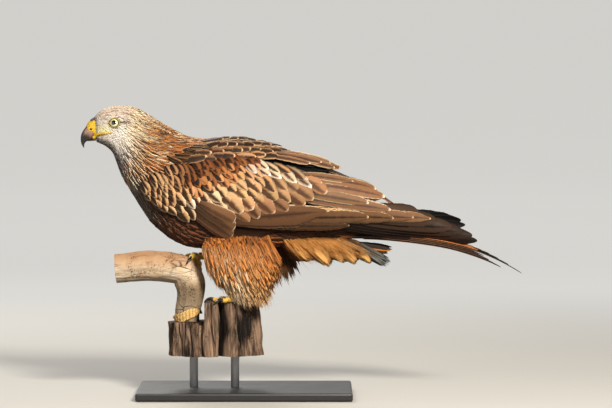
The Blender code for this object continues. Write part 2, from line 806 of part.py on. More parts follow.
def tail_surface(x, y, lift=0.0):
    """The closed tail's upper surface: it droops to its tip, falls to both sides and leans to the left."""
    behind = x - TAIL_ROOT_X
    ridge = TAIL_RIDGE_Z + TAIL_SLOPE * behind - TAIL_DROOP * behind**2
    z = ridge - TAIL_ROOF * y**2 + TAIL_TILT * y + lift
    return np.stack([x, y, z], axis=-1)


def build_tail(parts):
    """The forked tail: a short root and twelve long feathers in layers, the middle pair on top."""
    count = 2 * TAIL_PAIRS
    rings = []
    for share in np.linspace(0, 1, 4):
        x = TAIL_CORE_START + (TAIL_CORE_END - TAIL_CORE_START) * share
        across = np.linspace(-1, 1, 7) * (TAIL_CORE_WIDTHS[0] * (1 - share) + TAIL_CORE_WIDTHS[1] * share)
        depth = TAIL_LAYER * count * (1 - 0.3 * share)
        top = tail_surface(np.full(7, x), across, -1.2 * MM)
        bottom = tail_surface(np.full(7, x), across, -depth)[::-1]
        rings.append(np.concatenate([top, bottom]))
    node = loft("tail", rings, parts)
    vanes = []
    share = np.linspace(0, 1, 5)
    start = TAIL_ROOT_X + 30 * MM
    for layer in range(count):
        pair, side = divmod(layer, 2)
        side = LEFT if side else RIGHT
        outwards = (pair + 0.4) / (TAIL_PAIRS - 0.6)
        tip_x = TAIL_ROOT_X + TAIL_OUTER_LENGTH - TAIL_FORK * (1 - outwards) ** 0.9
        x = start + (tip_x - start) * share
        spread = TAIL_ROOT_SPREAD * outwards + (TAIL_TIP_SPREAD - TAIL_ROOT_SPREAD) * outwards * share
        lift = np.full(len(share), -TAIL_LAYER * layer)
        vanes.append(lying_vane(tail_surface, x, side * spread, lift, TAIL_VANE_WIDTH, 0.0, parts))
    combine(node, vanes, "UNION")
    return combine(node, [body_room(parts)], "DIFFERENCE")


def build_thigh(side, parts):
    """A feathered thigh with the loose feathers that hang round the heel."""
    turns = np.linspace(0, 2 * math.pi, THIGH_SIDES, endpoint=False)
    rings = []
    for x, y, z, half_length, half_width in smooth(THIGH_STATIONS[side], np.linspace(0, 5, 7)):
        along, across = half_length * np.cos(turns), half_width * np.sin(turns)
        rings.append(np.stack([x + along, side * y + across, np.full(THIGH_SIDES, z)], axis=-1))
    node = loft(f"thigh_{SIDE_NAMES[side]}", rings, parts)
    vanes = []
    for row in THIGH_FEATHERS[side]:
        vanes += hanging_vanes(row, side, parts)
    combine(node, vanes, "UNION")
    hind = TOE_NAMES.index("hind")
    leg = [tarsus(side, parts, GAP), toe(side, hind, parts, GAP), claw(side, hind, parts, GAP)]
    return combine(node, [body_room(parts), wing_room(side, parts), *leg], "DIFFERENCE")


def wing_room(side, parts):
    """The room that a wing's lower half takes, with the gap round it."""
    surface = wing_surface(side)
    rings = []
    for x in np.linspace(-120, 170, 10) * MM:
        middle, half = wing_row(x)[:2]
        z = np.array((middle, middle - half - 6 * MM))
        inner = surface(np.full(2, x), z, -6 * MM)
        outer = surface(np.full(2, x), z, 40 * MM)[::-1]
        rings.append(np.concatenate([inner, outer]))
    return loft("room", rings, parts)


def tarsus(side, parts, grow=0.0):
    """The scaled lower leg from the heel to the foot."""
    leg = LEGS[side]
    heel, foot = Vector(leg.heel), Vector(leg.foot)
    points = [heel.lerp(foot, share) for share in np.linspace(0, 1, 5)]
    radii = [TARSUS_RADIUS * swell + grow for swell in (1.25, 1.0, 0.9, 0.95, 1.1)]
    if grow:
        points.insert(0, heel + (heel - foot).normalized() * grow)
        radii.insert(0, radii[0])
    return tube(f"foot_{SIDE_NAMES[side]}", points, radii, 8, parts)


def toe_path(side, number):
    """The middle line of a toe and its radii, from the foot's middle to the claw's root."""
    leg = LEGS[side]
    turn, length = math.radians(leg.toe_turns[number]), leg.toe_lengths[number]
    share = np.linspace(0, 1, 6)
    radii = TOE_RADIUS + (TOE_TIP_RADIUS - TOE_RADIUS) * share + 0.35 * MM * np.cos(share * 6 * math.pi)
    x = leg.foot[0] - math.cos(turn) * length * share
    y = leg.foot[1] + math.sin(turn) * length * share
    if leg.floor == "post":
        z = POST_TOP + radii * 0.86 + 2.2 * MM * np.sin(math.pi * share) * (1 - share)
        return np.stack([x, y, z], axis=-1), radii
    return np.array([seat_on_branch(a, b, r) for a, b, r in zip(x, y, radii, strict=True)]), radii


def seat_on_branch(x, y, radius):
    """The place on the branch where a toe of this radius lies when it is seen from above at (x, y).

    Past the elbow a toe bends down round its end, and past the branch's sides it wraps round them.
    """
    girth = ELBOW_RADIUS + radius * 0.86
    off_side = (y - BRANCH_Y) / girth
    off_end = max(0.0, x - ELBOW[0]) / girth
    swing = math.hypot(off_side, off_end)
    reach = girth * (math.sin(swing) / swing if swing else 1.0)
    middle_x, middle_z = (ELBOW[0], ELBOW[1]) if off_end else (x, branch_height(x) - ELBOW_RADIUS)
    return middle_x + reach * off_end, BRANCH_Y + reach * off_side, middle_z + girth * math.cos(swing)


def branch_height(x):
    """The height of the branch's top line over a place."""
    rows = BRANCH_STATIONS[:5]
    return float(np.interp(x, rows[:, 0], rows[:, 1] + rows[:, 2]))


def claw_path(toe, outward):
    """The middle line of a claw that leaves a toe's end, arches up from the perch and curves back to it."""
    ahead = Vector(toe[-1] - toe[-2]).normalized()
    start = Vector(toe[-1]) + ahead * (TOE_TIP_RADIUS * 0.4 + GAP)
    share = np.linspace(0, 1, 5)
    step = CLAW_LENGTH / (len(share) - 1)
    places = [start]
    for angle in np.radians(CLAW_ARCH[0] + (CLAW_ARCH[1] - CLAW_ARCH[0]) * share[:-1]):
        places.append(places[-1] + (ahead * math.cos(angle) + outward * math.sin(angle)) * step)
    return places


def away_from_perch(side, place):
    """The way straight out of the perch under a place on the foot."""
    if LEGS[side].floor == "post":
        return Vector((0, 0, 1))
    rows = smooth(BRANCH_STATIONS, np.linspace(0, 6, 61))
    middles = np.column_stack([rows[:, 0], np.full(len(rows), BRANCH_Y), rows[:, 1]])
    nearest = middles[np.argmin(np.linalg.norm(middles - place, axis=1))]
    return Vector(place - nearest).normalized()


def toe(side, number, parts, grow=0.0):
    """One toe from the foot's middle, or the room that it takes."""
    path, radii = toe_path(side, number)
    return tube("toe", path, radii + grow, 4, parts)


def claw(side, number, parts, grow=0.0):
    """One claw at its toe's end, or the room that it takes."""
    path, _ = toe_path(side, number)
    places = claw_path(path, away_from_perch(side, path[-1]))
    radii = CLAW_RADIUS * np.array((1.0, 0.95, 0.78, 0.5, 0.12)) + grow
    return tube(f"claw_{SIDE_NAMES[side]}_{TOE_NAMES[number]}", places, radii, 4, parts)


def build_foot(side, parts, perch):
    """A foot and its four claws. The lower leg and toes are one piece, cut clear of what they stand on."""
    numbers = range(len(TOE_NAMES))
    node = combine(tarsus(side, parts), [toe(side, number, parts) for number in numbers], "UNION")
    combine(node, perch(parts, GAP), "DIFFERENCE")
    claws = [combine(claw(side, number, parts), perch(parts, GAP), "DIFFERENCE") for number in numbers]
    return node, claws


def post_ring(level, grow=0.0):
    """The post's weathered outline at a level, from a few waves round it."""
    angles = np.linspace(0, 2 * math.pi, POST_SIDES, endpoint=False)
    share = (POST_TOP - level) / (POST_TOP - POST_BOTTOM)
    waves = 0.05 * np.sin(3 * angles + 0.8) + 0.035 * np.sin(7 * angles + 2.1 * share) + 0.02 * np.sin(11 * angles)
    reach = (0.94 + 0.08 * share + waves)[:, None] * POST_HALF + grow
    lean = np.array((2.5 * MM, 0)) * (share - 0.5)
    outline = POST_CENTRE + lean + reach * np.stack([np.cos(angles), np.sin(angles)], axis=-1)
    return np.column_stack([outline, np.full(POST_SIDES, level)])


def build_post(parts):
    """The stub of the post, stepped on its left for the branch and split by three cracks."""
    levels = np.linspace(POST_BOTTOM, POST_TOP, 4)
    node = loft("perch_post", [post_ring(level) for level in levels], parts)
    step = block("step", (-0.2, -0.1, POST_STEP), (POST_STEP_EDGE, 0.1, 0.2), parts)
    cracks = []
    for angle, depth, width in ((-62, 15, 4.2), (-104, 11, 3.2), (18, 12, 3.0)):
        way = Vector((math.cos(math.radians(angle)), math.sin(math.radians(angle)), 0))
        aside = Vector((-way.y, way.x, 0))
        centre = Vector((*POST_CENTRE, 0))
        reach = 1 / math.hypot(way.x / POST_HALF[0], way.y / POST_HALF[1])
        rows = []
        for level, open_share in ((POST_BOTTOM - 5 * MM, 0.7), (95 * MM, 1.1), (POST_TOP + 5 * MM, 0.8)):
            deep = centre + way * (reach - depth * MM * open_share)
            out = centre + way * (reach + 20 * MM)
            spread = aside * width * MM * open_share
            rows.append([(*place.xy, level) for place in (deep, out + spread * 3, out - spread * 3)])
        cracks.append(loft("crack", rows, parts))
    return combine(node, [step, *cracks], "DIFFERENCE")


def branch_tube(name, parts, grow=0.0):
    """The dead branch, or the room that it takes when it is grown by a gap."""
    rows = smooth(BRANCH_STATIONS, np.linspace(0, len(BRANCH_STATIONS) - 1, BRANCH_POINTS))
    points = np.column_stack([rows[:, 0], np.full(len(rows), BRANCH_Y), rows[:, 1]])
    return tube(name, points, rows[:, 2] + grow, BRANCH_SIDES, parts)


def build_binding(parts):
    """The band that ties the branch's foot to the post, wound askew round the branch."""
    low, high = BINDING_HEIGHTS
    middle = Vector((-81 * MM, BRANCH_Y, (low + high) / 2))
    axis = Vector((math.sin(BINDING_TILT), 0, math.cos(BINDING_TILT)))
    half = axis * (high - low) / 2
    node = tube("perch_binding", [middle - half, middle + half], [17.6 * MM + BINDING_THICKNESS] * 2, 20, parts)
    room = block("room", (-0.2, -0.1, 0.0), (0.1, 0.1, POST_STEP + 2 * GAP), parts)
    return combine(node, [branch_tube("branch", parts, GAP), room], "DIFFERENCE")


def near_perch(parts, grow):
    """The room that the post takes up under the near foot."""
    return [block("floor", (-0.2, -0.1, 0.05), (0.1, 0.1, POST_TOP + grow), parts)]


def far_perch(parts, grow):
    """The room that the branch takes up under the far foot."""
    return [branch_tube("branch", parts, grow)]


def build_stand(parts):
    """The flat base and the two rods that carry the post."""
    low, high = -BASE_SIZE / 2, BASE_SIZE / 2
    base = block("stand_base", (*low[:2], 0), (*high[:2], BASE_SIZE[2]), parts)
    bevel = base.modifiers.new("Bevel", "BEVEL")
    bevel.width = BASE_BEVEL
    bevel.segments = 2
    bevel.limit_method = "ANGLE"
    rods = []
    for number, (x, y) in enumerate(ROD_PLACES, 1):
        ends = [(x, y, BASE_SIZE[2] + GAP), (x, y, POST_BOTTOM - GAP)]
        rods.append(tube(f"stand_rod_{number}", ends, [ROD_RADIUS] * 2, 20, parts))
    return base, rods


def main():
    """Builds every node in its own collection."""
    clear_scene()
    parts = make_collection("red_kite")
    horn = make_material("black horn", (0.035, 0.03, 0.032), 0.3)
    yellow = make_material("yellow skin", (0.82, 0.55, 0.08), 0.45)
    grey = make_material("pale head", (0.6, 0.52, 0.42), 0.8)
    rufous = make_material("rufous feathers", (0.36, 0.14, 0.05), 0.8)
    brown = make_material("brown feathers", (0.13, 0.075, 0.045), 0.75)
    tan = make_material("tan feathers", (0.52, 0.3, 0.12), 0.85)
    iris = make_material("iris", (0.75, 0.65, 0.35), 0.1)
    bark = make_material("dark wood", (0.08, 0.06, 0.045), 0.9)
    pale_wood = make_material("weathered wood", (0.45, 0.36, 0.27), 0.85)
    twine = make_material("twine", (0.65, 0.42, 0.16), 0.8)
    stand = make_material("stand", (0.03, 0.03, 0.03), 0.4)

    finish_node(build_head(parts), grey)
    for eye in build_eyes(parts):
        finish_node(eye, iris)
    cere, upper, lower = build_bill(parts)
    finish_node(cere, yellow)
    finish_node(upper, horn)
    finish_node(lower, horn)
    finish_node(build_neck(parts), rufous)
    finish_node(build_torso(parts), rufous)
    finish_node(build_tail(parts), rufous)
    perches = {LEFT: near_perch, RIGHT: far_perch}
    for side in (LEFT, RIGHT):
        finish_node(build_wing(side, parts), brown)
        finish_node(build_thigh(side, parts), tan)
        foot, claws = build_foot(side, parts, perches[side])
        finish_node(foot, yellow)
        for claw in claws:
            finish_node(claw, horn)
    finish_node(build_post(parts), bark)
    finish_node(branch_tube("perch_branch", parts), pale_wood)
    finish_node(build_binding(parts), twine)
    base, rods = build_stand(parts)
    finish_node(base, stand)
    for rod in rods:
        finish_node(rod, stand)


main()
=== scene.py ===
"""The looks of a life-size red kite: skin, plumage, bill, eyes, feet, wooden perch and display stand.

The bird looks along -X, its left side faces -Y and +Z is up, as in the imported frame. Lengths are in
metres, and tables in millimetres are scaled where they stand.
"""

from __future__ import annotations

import logging
import math
from collections.abc import Callable, Sequence
from dataclasses import dataclass, field, replace
from enum import Enum
from typing import NamedTuple

import bmesh
import bpy
import numpy as np
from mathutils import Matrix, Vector

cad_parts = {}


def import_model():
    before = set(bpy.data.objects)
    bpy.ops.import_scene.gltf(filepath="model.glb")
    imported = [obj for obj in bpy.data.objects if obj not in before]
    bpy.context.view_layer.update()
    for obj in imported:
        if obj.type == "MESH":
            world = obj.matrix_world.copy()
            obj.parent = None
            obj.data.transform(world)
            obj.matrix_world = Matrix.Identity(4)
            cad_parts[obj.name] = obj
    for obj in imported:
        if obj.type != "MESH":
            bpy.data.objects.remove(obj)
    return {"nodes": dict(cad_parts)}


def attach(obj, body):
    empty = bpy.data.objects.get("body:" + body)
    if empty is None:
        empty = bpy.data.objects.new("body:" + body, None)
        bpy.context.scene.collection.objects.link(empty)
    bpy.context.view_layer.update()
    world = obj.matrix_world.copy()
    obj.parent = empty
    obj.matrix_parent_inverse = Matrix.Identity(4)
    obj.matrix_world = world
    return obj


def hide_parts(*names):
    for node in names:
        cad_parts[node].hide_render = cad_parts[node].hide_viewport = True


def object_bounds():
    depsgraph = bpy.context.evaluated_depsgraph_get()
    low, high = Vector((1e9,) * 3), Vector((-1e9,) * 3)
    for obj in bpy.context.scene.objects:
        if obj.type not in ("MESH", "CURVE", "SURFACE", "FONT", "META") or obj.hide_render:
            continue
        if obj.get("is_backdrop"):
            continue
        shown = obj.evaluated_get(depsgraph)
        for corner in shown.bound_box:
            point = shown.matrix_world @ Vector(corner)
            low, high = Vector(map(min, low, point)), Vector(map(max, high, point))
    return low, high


Array = np.ndarray
MM = 0.001
LEFT, RIGHT = -1, 1
SIDE_NAMES = {LEFT: "left", RIGHT: "right"}
TOE_NAMES = ("middle", "inner", "outer", "hind")
BODY = "root"
PLUME_MAP, BAKE_MAP = "Plume", "OFBake"
log = logging.getLogger("red_kite")


def srgb(red: float, green: float, blue: float) -> Array:
    """A colour given as a screen shows it, from 0 to 255, as linear light."""
    share = np.array((red, green, blue)) / 255
    return np.where(share <= 0.04045, share / 12.92, ((share + 0.055) / 1.055) ** 2.4)


def unit(vectors: Array) -> Array:
    """Vectors brought to a length of one."""
    return vectors / np.maximum(np.linalg.norm(vectors, axis=-1, keepdims=True), 1e-12)


def ease(value: Array, low: float, high: float) -> Array:
    """A smooth step: 0 below low, 1 above high, and 3s^2 - 2s^3 between them."""
    share = np.clip((np.asarray(value, float) - low) / (high - low), 0, 1)
    return share * share * (3 - 2 * share)


def through(rows: Array, place: Array) -> Array:
    """Table rows read at a fractional row number, along a Catmull-Rom curve through every row.

    Args:
        rows: a table with one station a row.
        place: row numbers, of any shape.

    Returns:
        The rows at those places, with one more axis than place.
    """
    rows = np.asarray(rows, float)
    last = len(rows) - 1
    place = np.clip(np.asarray(place, float), 0, last)
    low = np.minimum(np.floor(place).astype(int), last - 1)
    share = (place - low)[..., None]
    before, start, end, after = (rows[np.clip(low + step, 0, last)] for step in (-1, 0, 1, 2))
    return 0.5 * (
        2 * start
        + (end - before) * share
        + (2 * before - 5 * start + 4 * end - after) * share**2
        + (3 * start - before - 3 * end + after) * share**3
    )


def along_curve(points: Array, count: int) -> Array:
    """Places at even steps of row number along a curve through a few points."""
    points = np.asarray(points, float)
    return through(points, np.linspace(0, len(points) - 1, count))


def ripples(first: Array, second: Array, seed: int, waves: Sequence[tuple[int, float, float]]) -> Array:
    """A sum of seeded cosine waves of a turn and a length: amount * cos(turns*first + pitch*second + phase).

    Args:
        first: an angle, round which the pattern closes.
        second: a length.
        seed: chooses the phases.
        waves: whole turns, pitch and amount of each wave.

    Returns:
        The height of the waves.
    """
    rng = np.random.default_rng(seed)
    total = np.zeros(np.broadcast(first, second).shape)
    for turns, pitch, amount in waves:
        total += amount * np.cos(turns * first + pitch * second + rng.uniform(0, 2 * np.pi))
    return total


class Value:
    """A shader socket that takes part in sums: an expression on it adds Math nodes."""

    def __init__(self, graph: Graph, socket: bpy.types.NodeSocket) -> None:
        """Keeps the socket and the graph that its sums go into."""
        self.graph, self.socket = graph, socket

    def maths(self, operation: str, *others: Value | float, flip: bool = False) -> Value:
        """One Math node.

        Args:
            operation: the Math node's operation.
            others: the other operands.
            flip: whether this value is the second operand.

        Returns:
            The node's result.
        """
        terms = [self, *others]
        if flip:
            terms = terms[::-1]
        node = self.graph.node("ShaderNodeMath", {"operation": operation}, dict(enumerate(terms)))
        return Value(self.graph, node.outputs[0])

    def __add__(self, other: Value | float) -> Value:
        """This plus other."""
        return self.maths("ADD", other)

    def __sub__(self, other: Value | float) -> Value:
        """This minus other."""
        return self.maths("SUBTRACT", other)

    def __mul__(self, other: Value | float) -> Value:
        """This times other."""
        return self.maths("MULTIPLY", other)

    def __truediv__(self, other: Value | float) -> Value:
        """This over other."""
        return self.maths("DIVIDE", other)

    def __pow__(self, other: Value | float) -> Value:
        """This to the power of other."""
        return self.maths("POWER", other)

    def __rsub__(self, other: float) -> Value:
        """Other minus this."""
        return self.maths("SUBTRACT", other, flip=True)

    def __rtruediv__(self, other: float) -> Value:
        """Other over this."""
        return self.maths("DIVIDE", other, flip=True)

    __radd__, __rmul__ = __add__, __mul__

    def size(self) -> Value:
        """This without its sign."""
        return self.maths("ABSOLUTE")

    def wave(self) -> Value:
        """The sine of this."""
        return self.maths("SINE")

    def most(self, other: Value | float) -> Value:
        """The larger of this and other."""
        return self.maths("MAXIMUM", other)

    def least(self, other: Value | float) -> Value:
        """The smaller of this and other."""
        return self.maths("MINIMUM", other)

    def ease(self, low: Value | float, high: Value | float) -> Value:
        """A smooth step from 0 at low to 1 at high."""
        links = {0: self, 1: low, 2: high, 3: 0.0, 4: 1.0}
        node = self.graph.node("ShaderNodeMapRange", {"interpolation_type": "SMOOTHSTEP"}, links)
        return Value(self.graph, node.outputs[0])


class Graph:
    """A material's nodes, with short ways to add to them."""

    def __init__(self, name: str) -> None:
        """Makes an empty material of that name with a Principled shader."""
        self.material = bpy.data.materials.new(name)
        self.material.use_nodes = True
        self.tree = self.material.node_tree
        self.tree.nodes.clear()
        self.shader = self.tree.nodes.new("ShaderNodeBsdfPrincipled")
        output = self.tree.nodes.new("ShaderNodeOutputMaterial")
        self.tree.links.new(self.shader.outputs[0], output.inputs[0])

    def node(self, kind: str, settings: dict | None = None, links: dict | None = None) -> bpy.types.Node:
        """Adds one node.

        Args:
            kind: the node's type.
            settings: its own settings, with a colour ramp's stops under "stops".
            links: a value, socket or Value for each input.

        Returns:
            The node.
        """
        made = self.tree.nodes.new(kind)
        for key, setting in (settings or {}).items():
            if key == "stops":
                self.set_stops(made.color_ramp, setting)
            else:
                setattr(made, key, setting)
        for key, link in (links or {}).items():
            self.link(link, made.inputs[key])
        return made

    @staticmethod
    def set_stops(ramp: bpy.types.ColorRamp, stops: Sequence[tuple[float, Array]]) -> None:
        """Gives a colour ramp its stops, in order."""
        while len(ramp.elements) < len(stops):
            ramp.elements.new(1.0)
        for element, (place, colour) in zip(ramp.elements, stops, strict=True):
            element.position = place
            element.color = (*colour, 1.0)

    def link(self, source: object, target: bpy.types.NodeSocket) -> None:
        """Joins a socket or a Value to an input, or sets the input to a plain value."""
        if isinstance(source, Value):
            source = source.socket
        if isinstance(source, bpy.types.NodeSocket):
            self.tree.links.new(source, target)
        elif isinstance(source, (int, float)):
            target.default_value = source
        else:
            channels = tuple(float(x) for x in source)
            wide = len(target.default_value)
            target.default_value = (*channels, 1.0)[:wide]

    def value(self, socket: bpy.types.NodeSocket) -> Value:
        """Wraps a socket."""
        return Value(self, socket)

    def place(self, scale: Sequence[float] = (1, 1, 1)) -> bpy.types.NodeSocket:
        """The point on the object, stretched by scale."""
        here = self.node("ShaderNodeTexCoord").outputs["Object"]
        return self.node("ShaderNodeVectorMath", {"operation": "MULTIPLY"}, {0: here, 1: scale}).outputs[0]

    def coordinates(self) -> tuple[Value, Value, Value]:
        """The point's x, y and z."""
        here = self.node("ShaderNodeTexCoord").outputs["Object"]
        split = self.node("ShaderNodeSeparateXYZ", links={0: here})
        return tuple(self.value(socket) for socket in split.outputs)

    def plume(self) -> tuple[Value, Value]:
        """The place across and along a feather, from the piece's own map."""
        here = self.node("ShaderNodeUVMap", {"uv_map": PLUME_MAP}).outputs[0]
        split = self.node("ShaderNodeSeparateXYZ", links={0: here})
        return self.value(split.outputs[0]), self.value(split.outputs[1])

    def attribute(self, name: str) -> tuple[bpy.types.NodeSocket, Value]:
        """A colour that the piece's points carry, and its fourth number."""
        node = self.node("ShaderNodeAttribute", {"attribute_name": name})
        return node.outputs["Color"], self.value(node.outputs["Alpha"])

    def noise(self, vector: object, scale: float, detail: float = 3.0, rough: float = 0.55) -> Value:
        """Cloudy noise from 0 to 1."""
        links = {"Vector": vector, "Scale": scale, "Detail": detail, "Roughness": rough}
        return self.value(self.node("ShaderNodeTexNoise", links=links).outputs[0])

    def cells(self, vector: object, scale: float, feature: str = "DISTANCE_TO_EDGE") -> Value:
        """Distance to the nearest seam between cells, or what feature says."""
        node = self.node("ShaderNodeTexVoronoi", {"feature": feature}, {"Vector": vector, "Scale": scale})
        return self.value(node.outputs["Distance"])

    def mix(self, first: object, second: object, share: object, blend: str = "MIX") -> bpy.types.NodeSocket:
        """First turned into second by share."""
        settings = {"data_type": "RGBA", "blend_type": blend}
        return self.node("ShaderNodeMix", settings, {0: share, 6: first, 7: second}).outputs[2]

    def shade(self, colour: object, factor: Value) -> bpy.types.NodeSocket:
        """A colour made darker or lighter by a factor."""
        return self.node("ShaderNodeVectorMath", {"operation": "SCALE"}, {0: colour, 3: factor}).outputs[0]

    def finish(self, colour: object, rough: object, height: Value | None = None, depth: float = 0.0003,
               strength: float = 0.5, **fixed: float) -> bpy.types.Material:
        """Feeds the shader.

        Args:
            colour: the base colour.
            rough: the roughness.
            height: the height of the bumps.
            depth: how deep a height of one is, in metres.
            strength: the Bump node's strength.
            fixed: constants on the shader's own sockets, with _ for a space.

        Returns:
            The material.
        """
        self.link(colour, self.shader.inputs["Base Color"])
        self.link(rough, self.shader.inputs["Roughness"])
        if height is not None:
            links = {"Strength": strength, "Distance": depth, "Height": height}
            self.link(self.node("ShaderNodeBump", links=links).outputs[0], self.shader.inputs["Normal"])
        for key, constant in fixed.items():
            self.link(constant, self.shader.inputs[key.replace("_", " ")])
        return self.material


@dataclass(frozen=True)
class FeatherFinish:
    """Keratin vanes: a ground colour, a dark heart along the shaft, a pale rim and fine barbs, with painted shade
    towards the root.
    """

    name: str
    rough: float = 0.62
    barb_depth: float = 0.35
    softness: float = 0.1
    shaft: float = 0.25
    root_shade: float = 0.58
    lean: float = 0.0
    silk: float = 0.0
    contrast: float = 0.34

    def make(self) -> bpy.types.Material:
        """Builds the material. Every colour comes from the feather's own attributes."""
        g = Graph(self.name)
        across, along = g.plume()
        ground, heart_width = g.attribute("Ground")
        heart, heart_reach = g.attribute("Heart")
        rim, rim_width = g.attribute("Rim")
        wear, bars = g.attribute("Wear")
        split = g.node("ShaderNodeSeparateColor", links={0: wear})
        chance, length, width = (g.value(socket) for socket in split.outputs)
        off_shaft = (across - 0.5).size() * 2.0
        # The heart leans to the feather's lower web, which is the other way round on the bird's other side.
        hand = g.coordinates()[1].ease(-0.001, 0.001) * 2.0 - 1.0
        off_heart = (across - 0.5 - (chance - 0.5) * 0.16 - hand * self.lean).size() * 2.0
        # A barb leaves the shaft aslant, so its line is length along less a share of the way across.
        barb = along * length * 100.0 - off_shaft * width * 45.0
        # Silky feathers have no firm vane: their barbs run on almost along the shaft.
        loose = (along * length * 7.0, (across - 0.5) * width * 150.0) if self.silk else (barb * 0.9, off_shaft * 1.5)
        vector = g.node("ShaderNodeCombineXYZ", links={0: loose[0], 1: loose[1], 2: chance * 61.0})
        strands = g.noise(vector.outputs[0], 1.0, 2.0)
        patches = g.noise(g.place(), 90.0, 2.0)
        ragged = (strands - 0.5) * 0.4 + (patches - 0.5) * 0.2
        reach = (along / heart_reach).least(1.0) ** 2.4
        heart_edge = heart_width * ((1.0 - reach).most(0.0) ** 0.6)
        soft = self.softness
        in_heart = 1.0 - (off_heart + ragged).ease(heart_edge - soft * 1.6, heart_edge + soft * 1.6)
        in_heart = in_heart * (1.0 - (along / heart_reach).ease(0.86, 1.04)) * heart_width.ease(0.02, 0.1)
        near_edge = (off_shaft + ragged * 0.25).ease(1.0 - rim_width * 1.5, 1.0 - rim_width * 0.4)
        tip_rim = rim_width * (width / length).least(0.6)
        near_tip = (along + ragged * 0.05).ease(1.0 - tip_rim * 1.2, 1.0 - tip_rim * 0.3)
        in_rim = near_edge.most(near_tip) * rim_width.ease(0.005, 0.03)
        stripe = ((along * length * 100.0 * 0.42 + chance * 6.0).wave() + ragged * 2.0).ease(0.1, 0.9) * bars
        colour = g.mix(ground, heart, in_heart)
        colour = g.mix(colour, heart, stripe)
        colour = g.mix(colour, rim, in_rim)
        shaft = (1.0 - off_shaft.ease(0.015, 0.07)) * self.shaft
        tone = (1.01 - 0.5 * self.contrast) + strands * self.contrast - shaft
        # Painted shade: each feather darkens towards its root, where the feathers over it would shade it.
        tone = tone * (self.root_shade + along.ease(0.0, 0.45) * (1.0 - self.root_shade))
        height = strands * 0.8 + shaft * 3.0
        return g.finish(g.shade(colour, tone), self.rough, height, self.barb_depth * MM, 0.5,
                        Sheen_Weight=0.02, Sheen_Roughness=0.5, Specular_IOR_Level=0.12)


@dataclass(frozen=True)
class SkinFinish:
    """Down and skin under the feathers, in the plumage's own colours but darker."""

    def make(self) -> bpy.types.Material:
        """Builds the material from the colours that the skin's points carry."""
        g = Graph("skin under feathers")
        colour, _ = g.attribute("Ground")
        down = g.noise(g.place(), 700.0, 4.0)
        tufts = g.noise(g.place((1, 1, 1)), 160.0, 3.0)
        tone = 0.35 + down * 0.3 + tufts * 0.25
        return g.finish(g.shade(colour, tone), 0.9, down + tufts, 0.8 * MM, 0.6, Specular_IOR_Level=0.06)


@dataclass(frozen=True)
class HornFinish:
    """Smooth horn, paler at its root and nearly black along its ridge and towards its point, with growth lines."""

    name: str
    root: tuple[float, float, float] = (176, 134, 116)
    point: tuple[float, float, float] = (14, 12, 13)
    ridge: float = 1.0
    rough: float = 0.26

    def make(self) -> bpy.types.Material:
        """Builds the material. The map runs from under to ridge, and from root to point."""
        g = Graph(self.name)
        around, along = g.plume()
        streaks = g.noise(g.place((1, 1, 0.4)), 420.0, 3.0)
        lines = ((along * 95.0 + streaks * 5.0).wave() * 0.5 + 0.5)
        dark = (along + (streaks - 0.5) * 0.25).ease(0.05, 0.42)
        ridge = (around + (streaks - 0.5) * 0.2).ease(0.70, 0.84) * self.ridge
        under = (0.42 - around + (streaks - 0.5) * 0.15).ease(0.0, 0.2) * self.ridge * 0.75
        colour = g.mix(srgb(*self.root), srgb(*self.point), dark.most(ridge).most(under))
        rough = self.rough + streaks * 0.18
        return g.finish(colour, rough, lines * 0.3 + streaks * 0.7, 0.12 * MM, 0.4,
                        Coat_Weight=0.35, Coat_Roughness=0.2)


@dataclass(frozen=True)
class ScaleFinish:
    """Yellow bare skin: fine wrinkles on the cere, and small scales on the feet, with painted shade in the creases."""

    name: str
    light: tuple[float, float, float] = (232, 190, 72)
    deep: tuple[float, float, float] = (176, 118, 26)
    scale: float = 900.0
    rough: float = 0.42

    def make(self) -> bpy.types.Material:
        """Builds the material from cells and clouds on the object."""
        g = Graph(self.name)
        clouds = g.noise(g.place(), 150.0, 4.0)
        seams = g.cells(g.place(), self.scale)
        # Painted shade: the creases between the scales darken the colour.
        crease_shade = 1.0 - seams.ease(0.0, 0.16)
        colour = g.mix(srgb(*self.light), srgb(*self.deep), clouds.ease(0.35, 0.75))
        colour = g.shade(colour, 1.0 - crease_shade * 0.35)
        rough = self.rough + clouds * 0.2
        return g.finish(colour, rough, seams.ease(0.0, 0.3) + clouds * 0.4, 0.25 * MM, 0.5,
                        Subsurface_Weight=0.0, Coat_Weight=0.08)


@dataclass(frozen=True)
class EyeFinish:
    """A wet eye: black pupil, pale yellow iris with fine rays and a dark ring round it."""

    pupil: float = 0.315
    iris: float = 0.80

    def make(self) -> bpy.types.Material:
        """Builds the material. The map's second number grows from the pupil's middle."""
        g = Graph("eye")
        around, out = g.plume()
        rays_place = g.node("ShaderNodeCombineXYZ", links={0: (around * 6.283).wave() * 9.0, 1: around * 40.0})
        rays = g.noise(rays_place.outputs[0], 3.0, 3.0)
        colour = g.mix(srgb(255, 246, 190), srgb(232, 204, 110), (out + (rays - 0.5) * 0.4).ease(0.35, 0.85))
        colour = g.mix(colour, srgb(150, 110, 45), (rays.ease(0.55, 0.8)) * 0.35)
        colour = g.mix(srgb(4, 4, 5), colour, out.ease(self.pupil - 0.015, self.pupil + 0.02))
        colour = g.mix(colour, srgb(14, 11, 8), out.ease(self.iris - 0.03, self.iris + 0.05))
        return g.finish(colour, 0.12, Coat_Weight=1.0, Coat_Roughness=0.02)


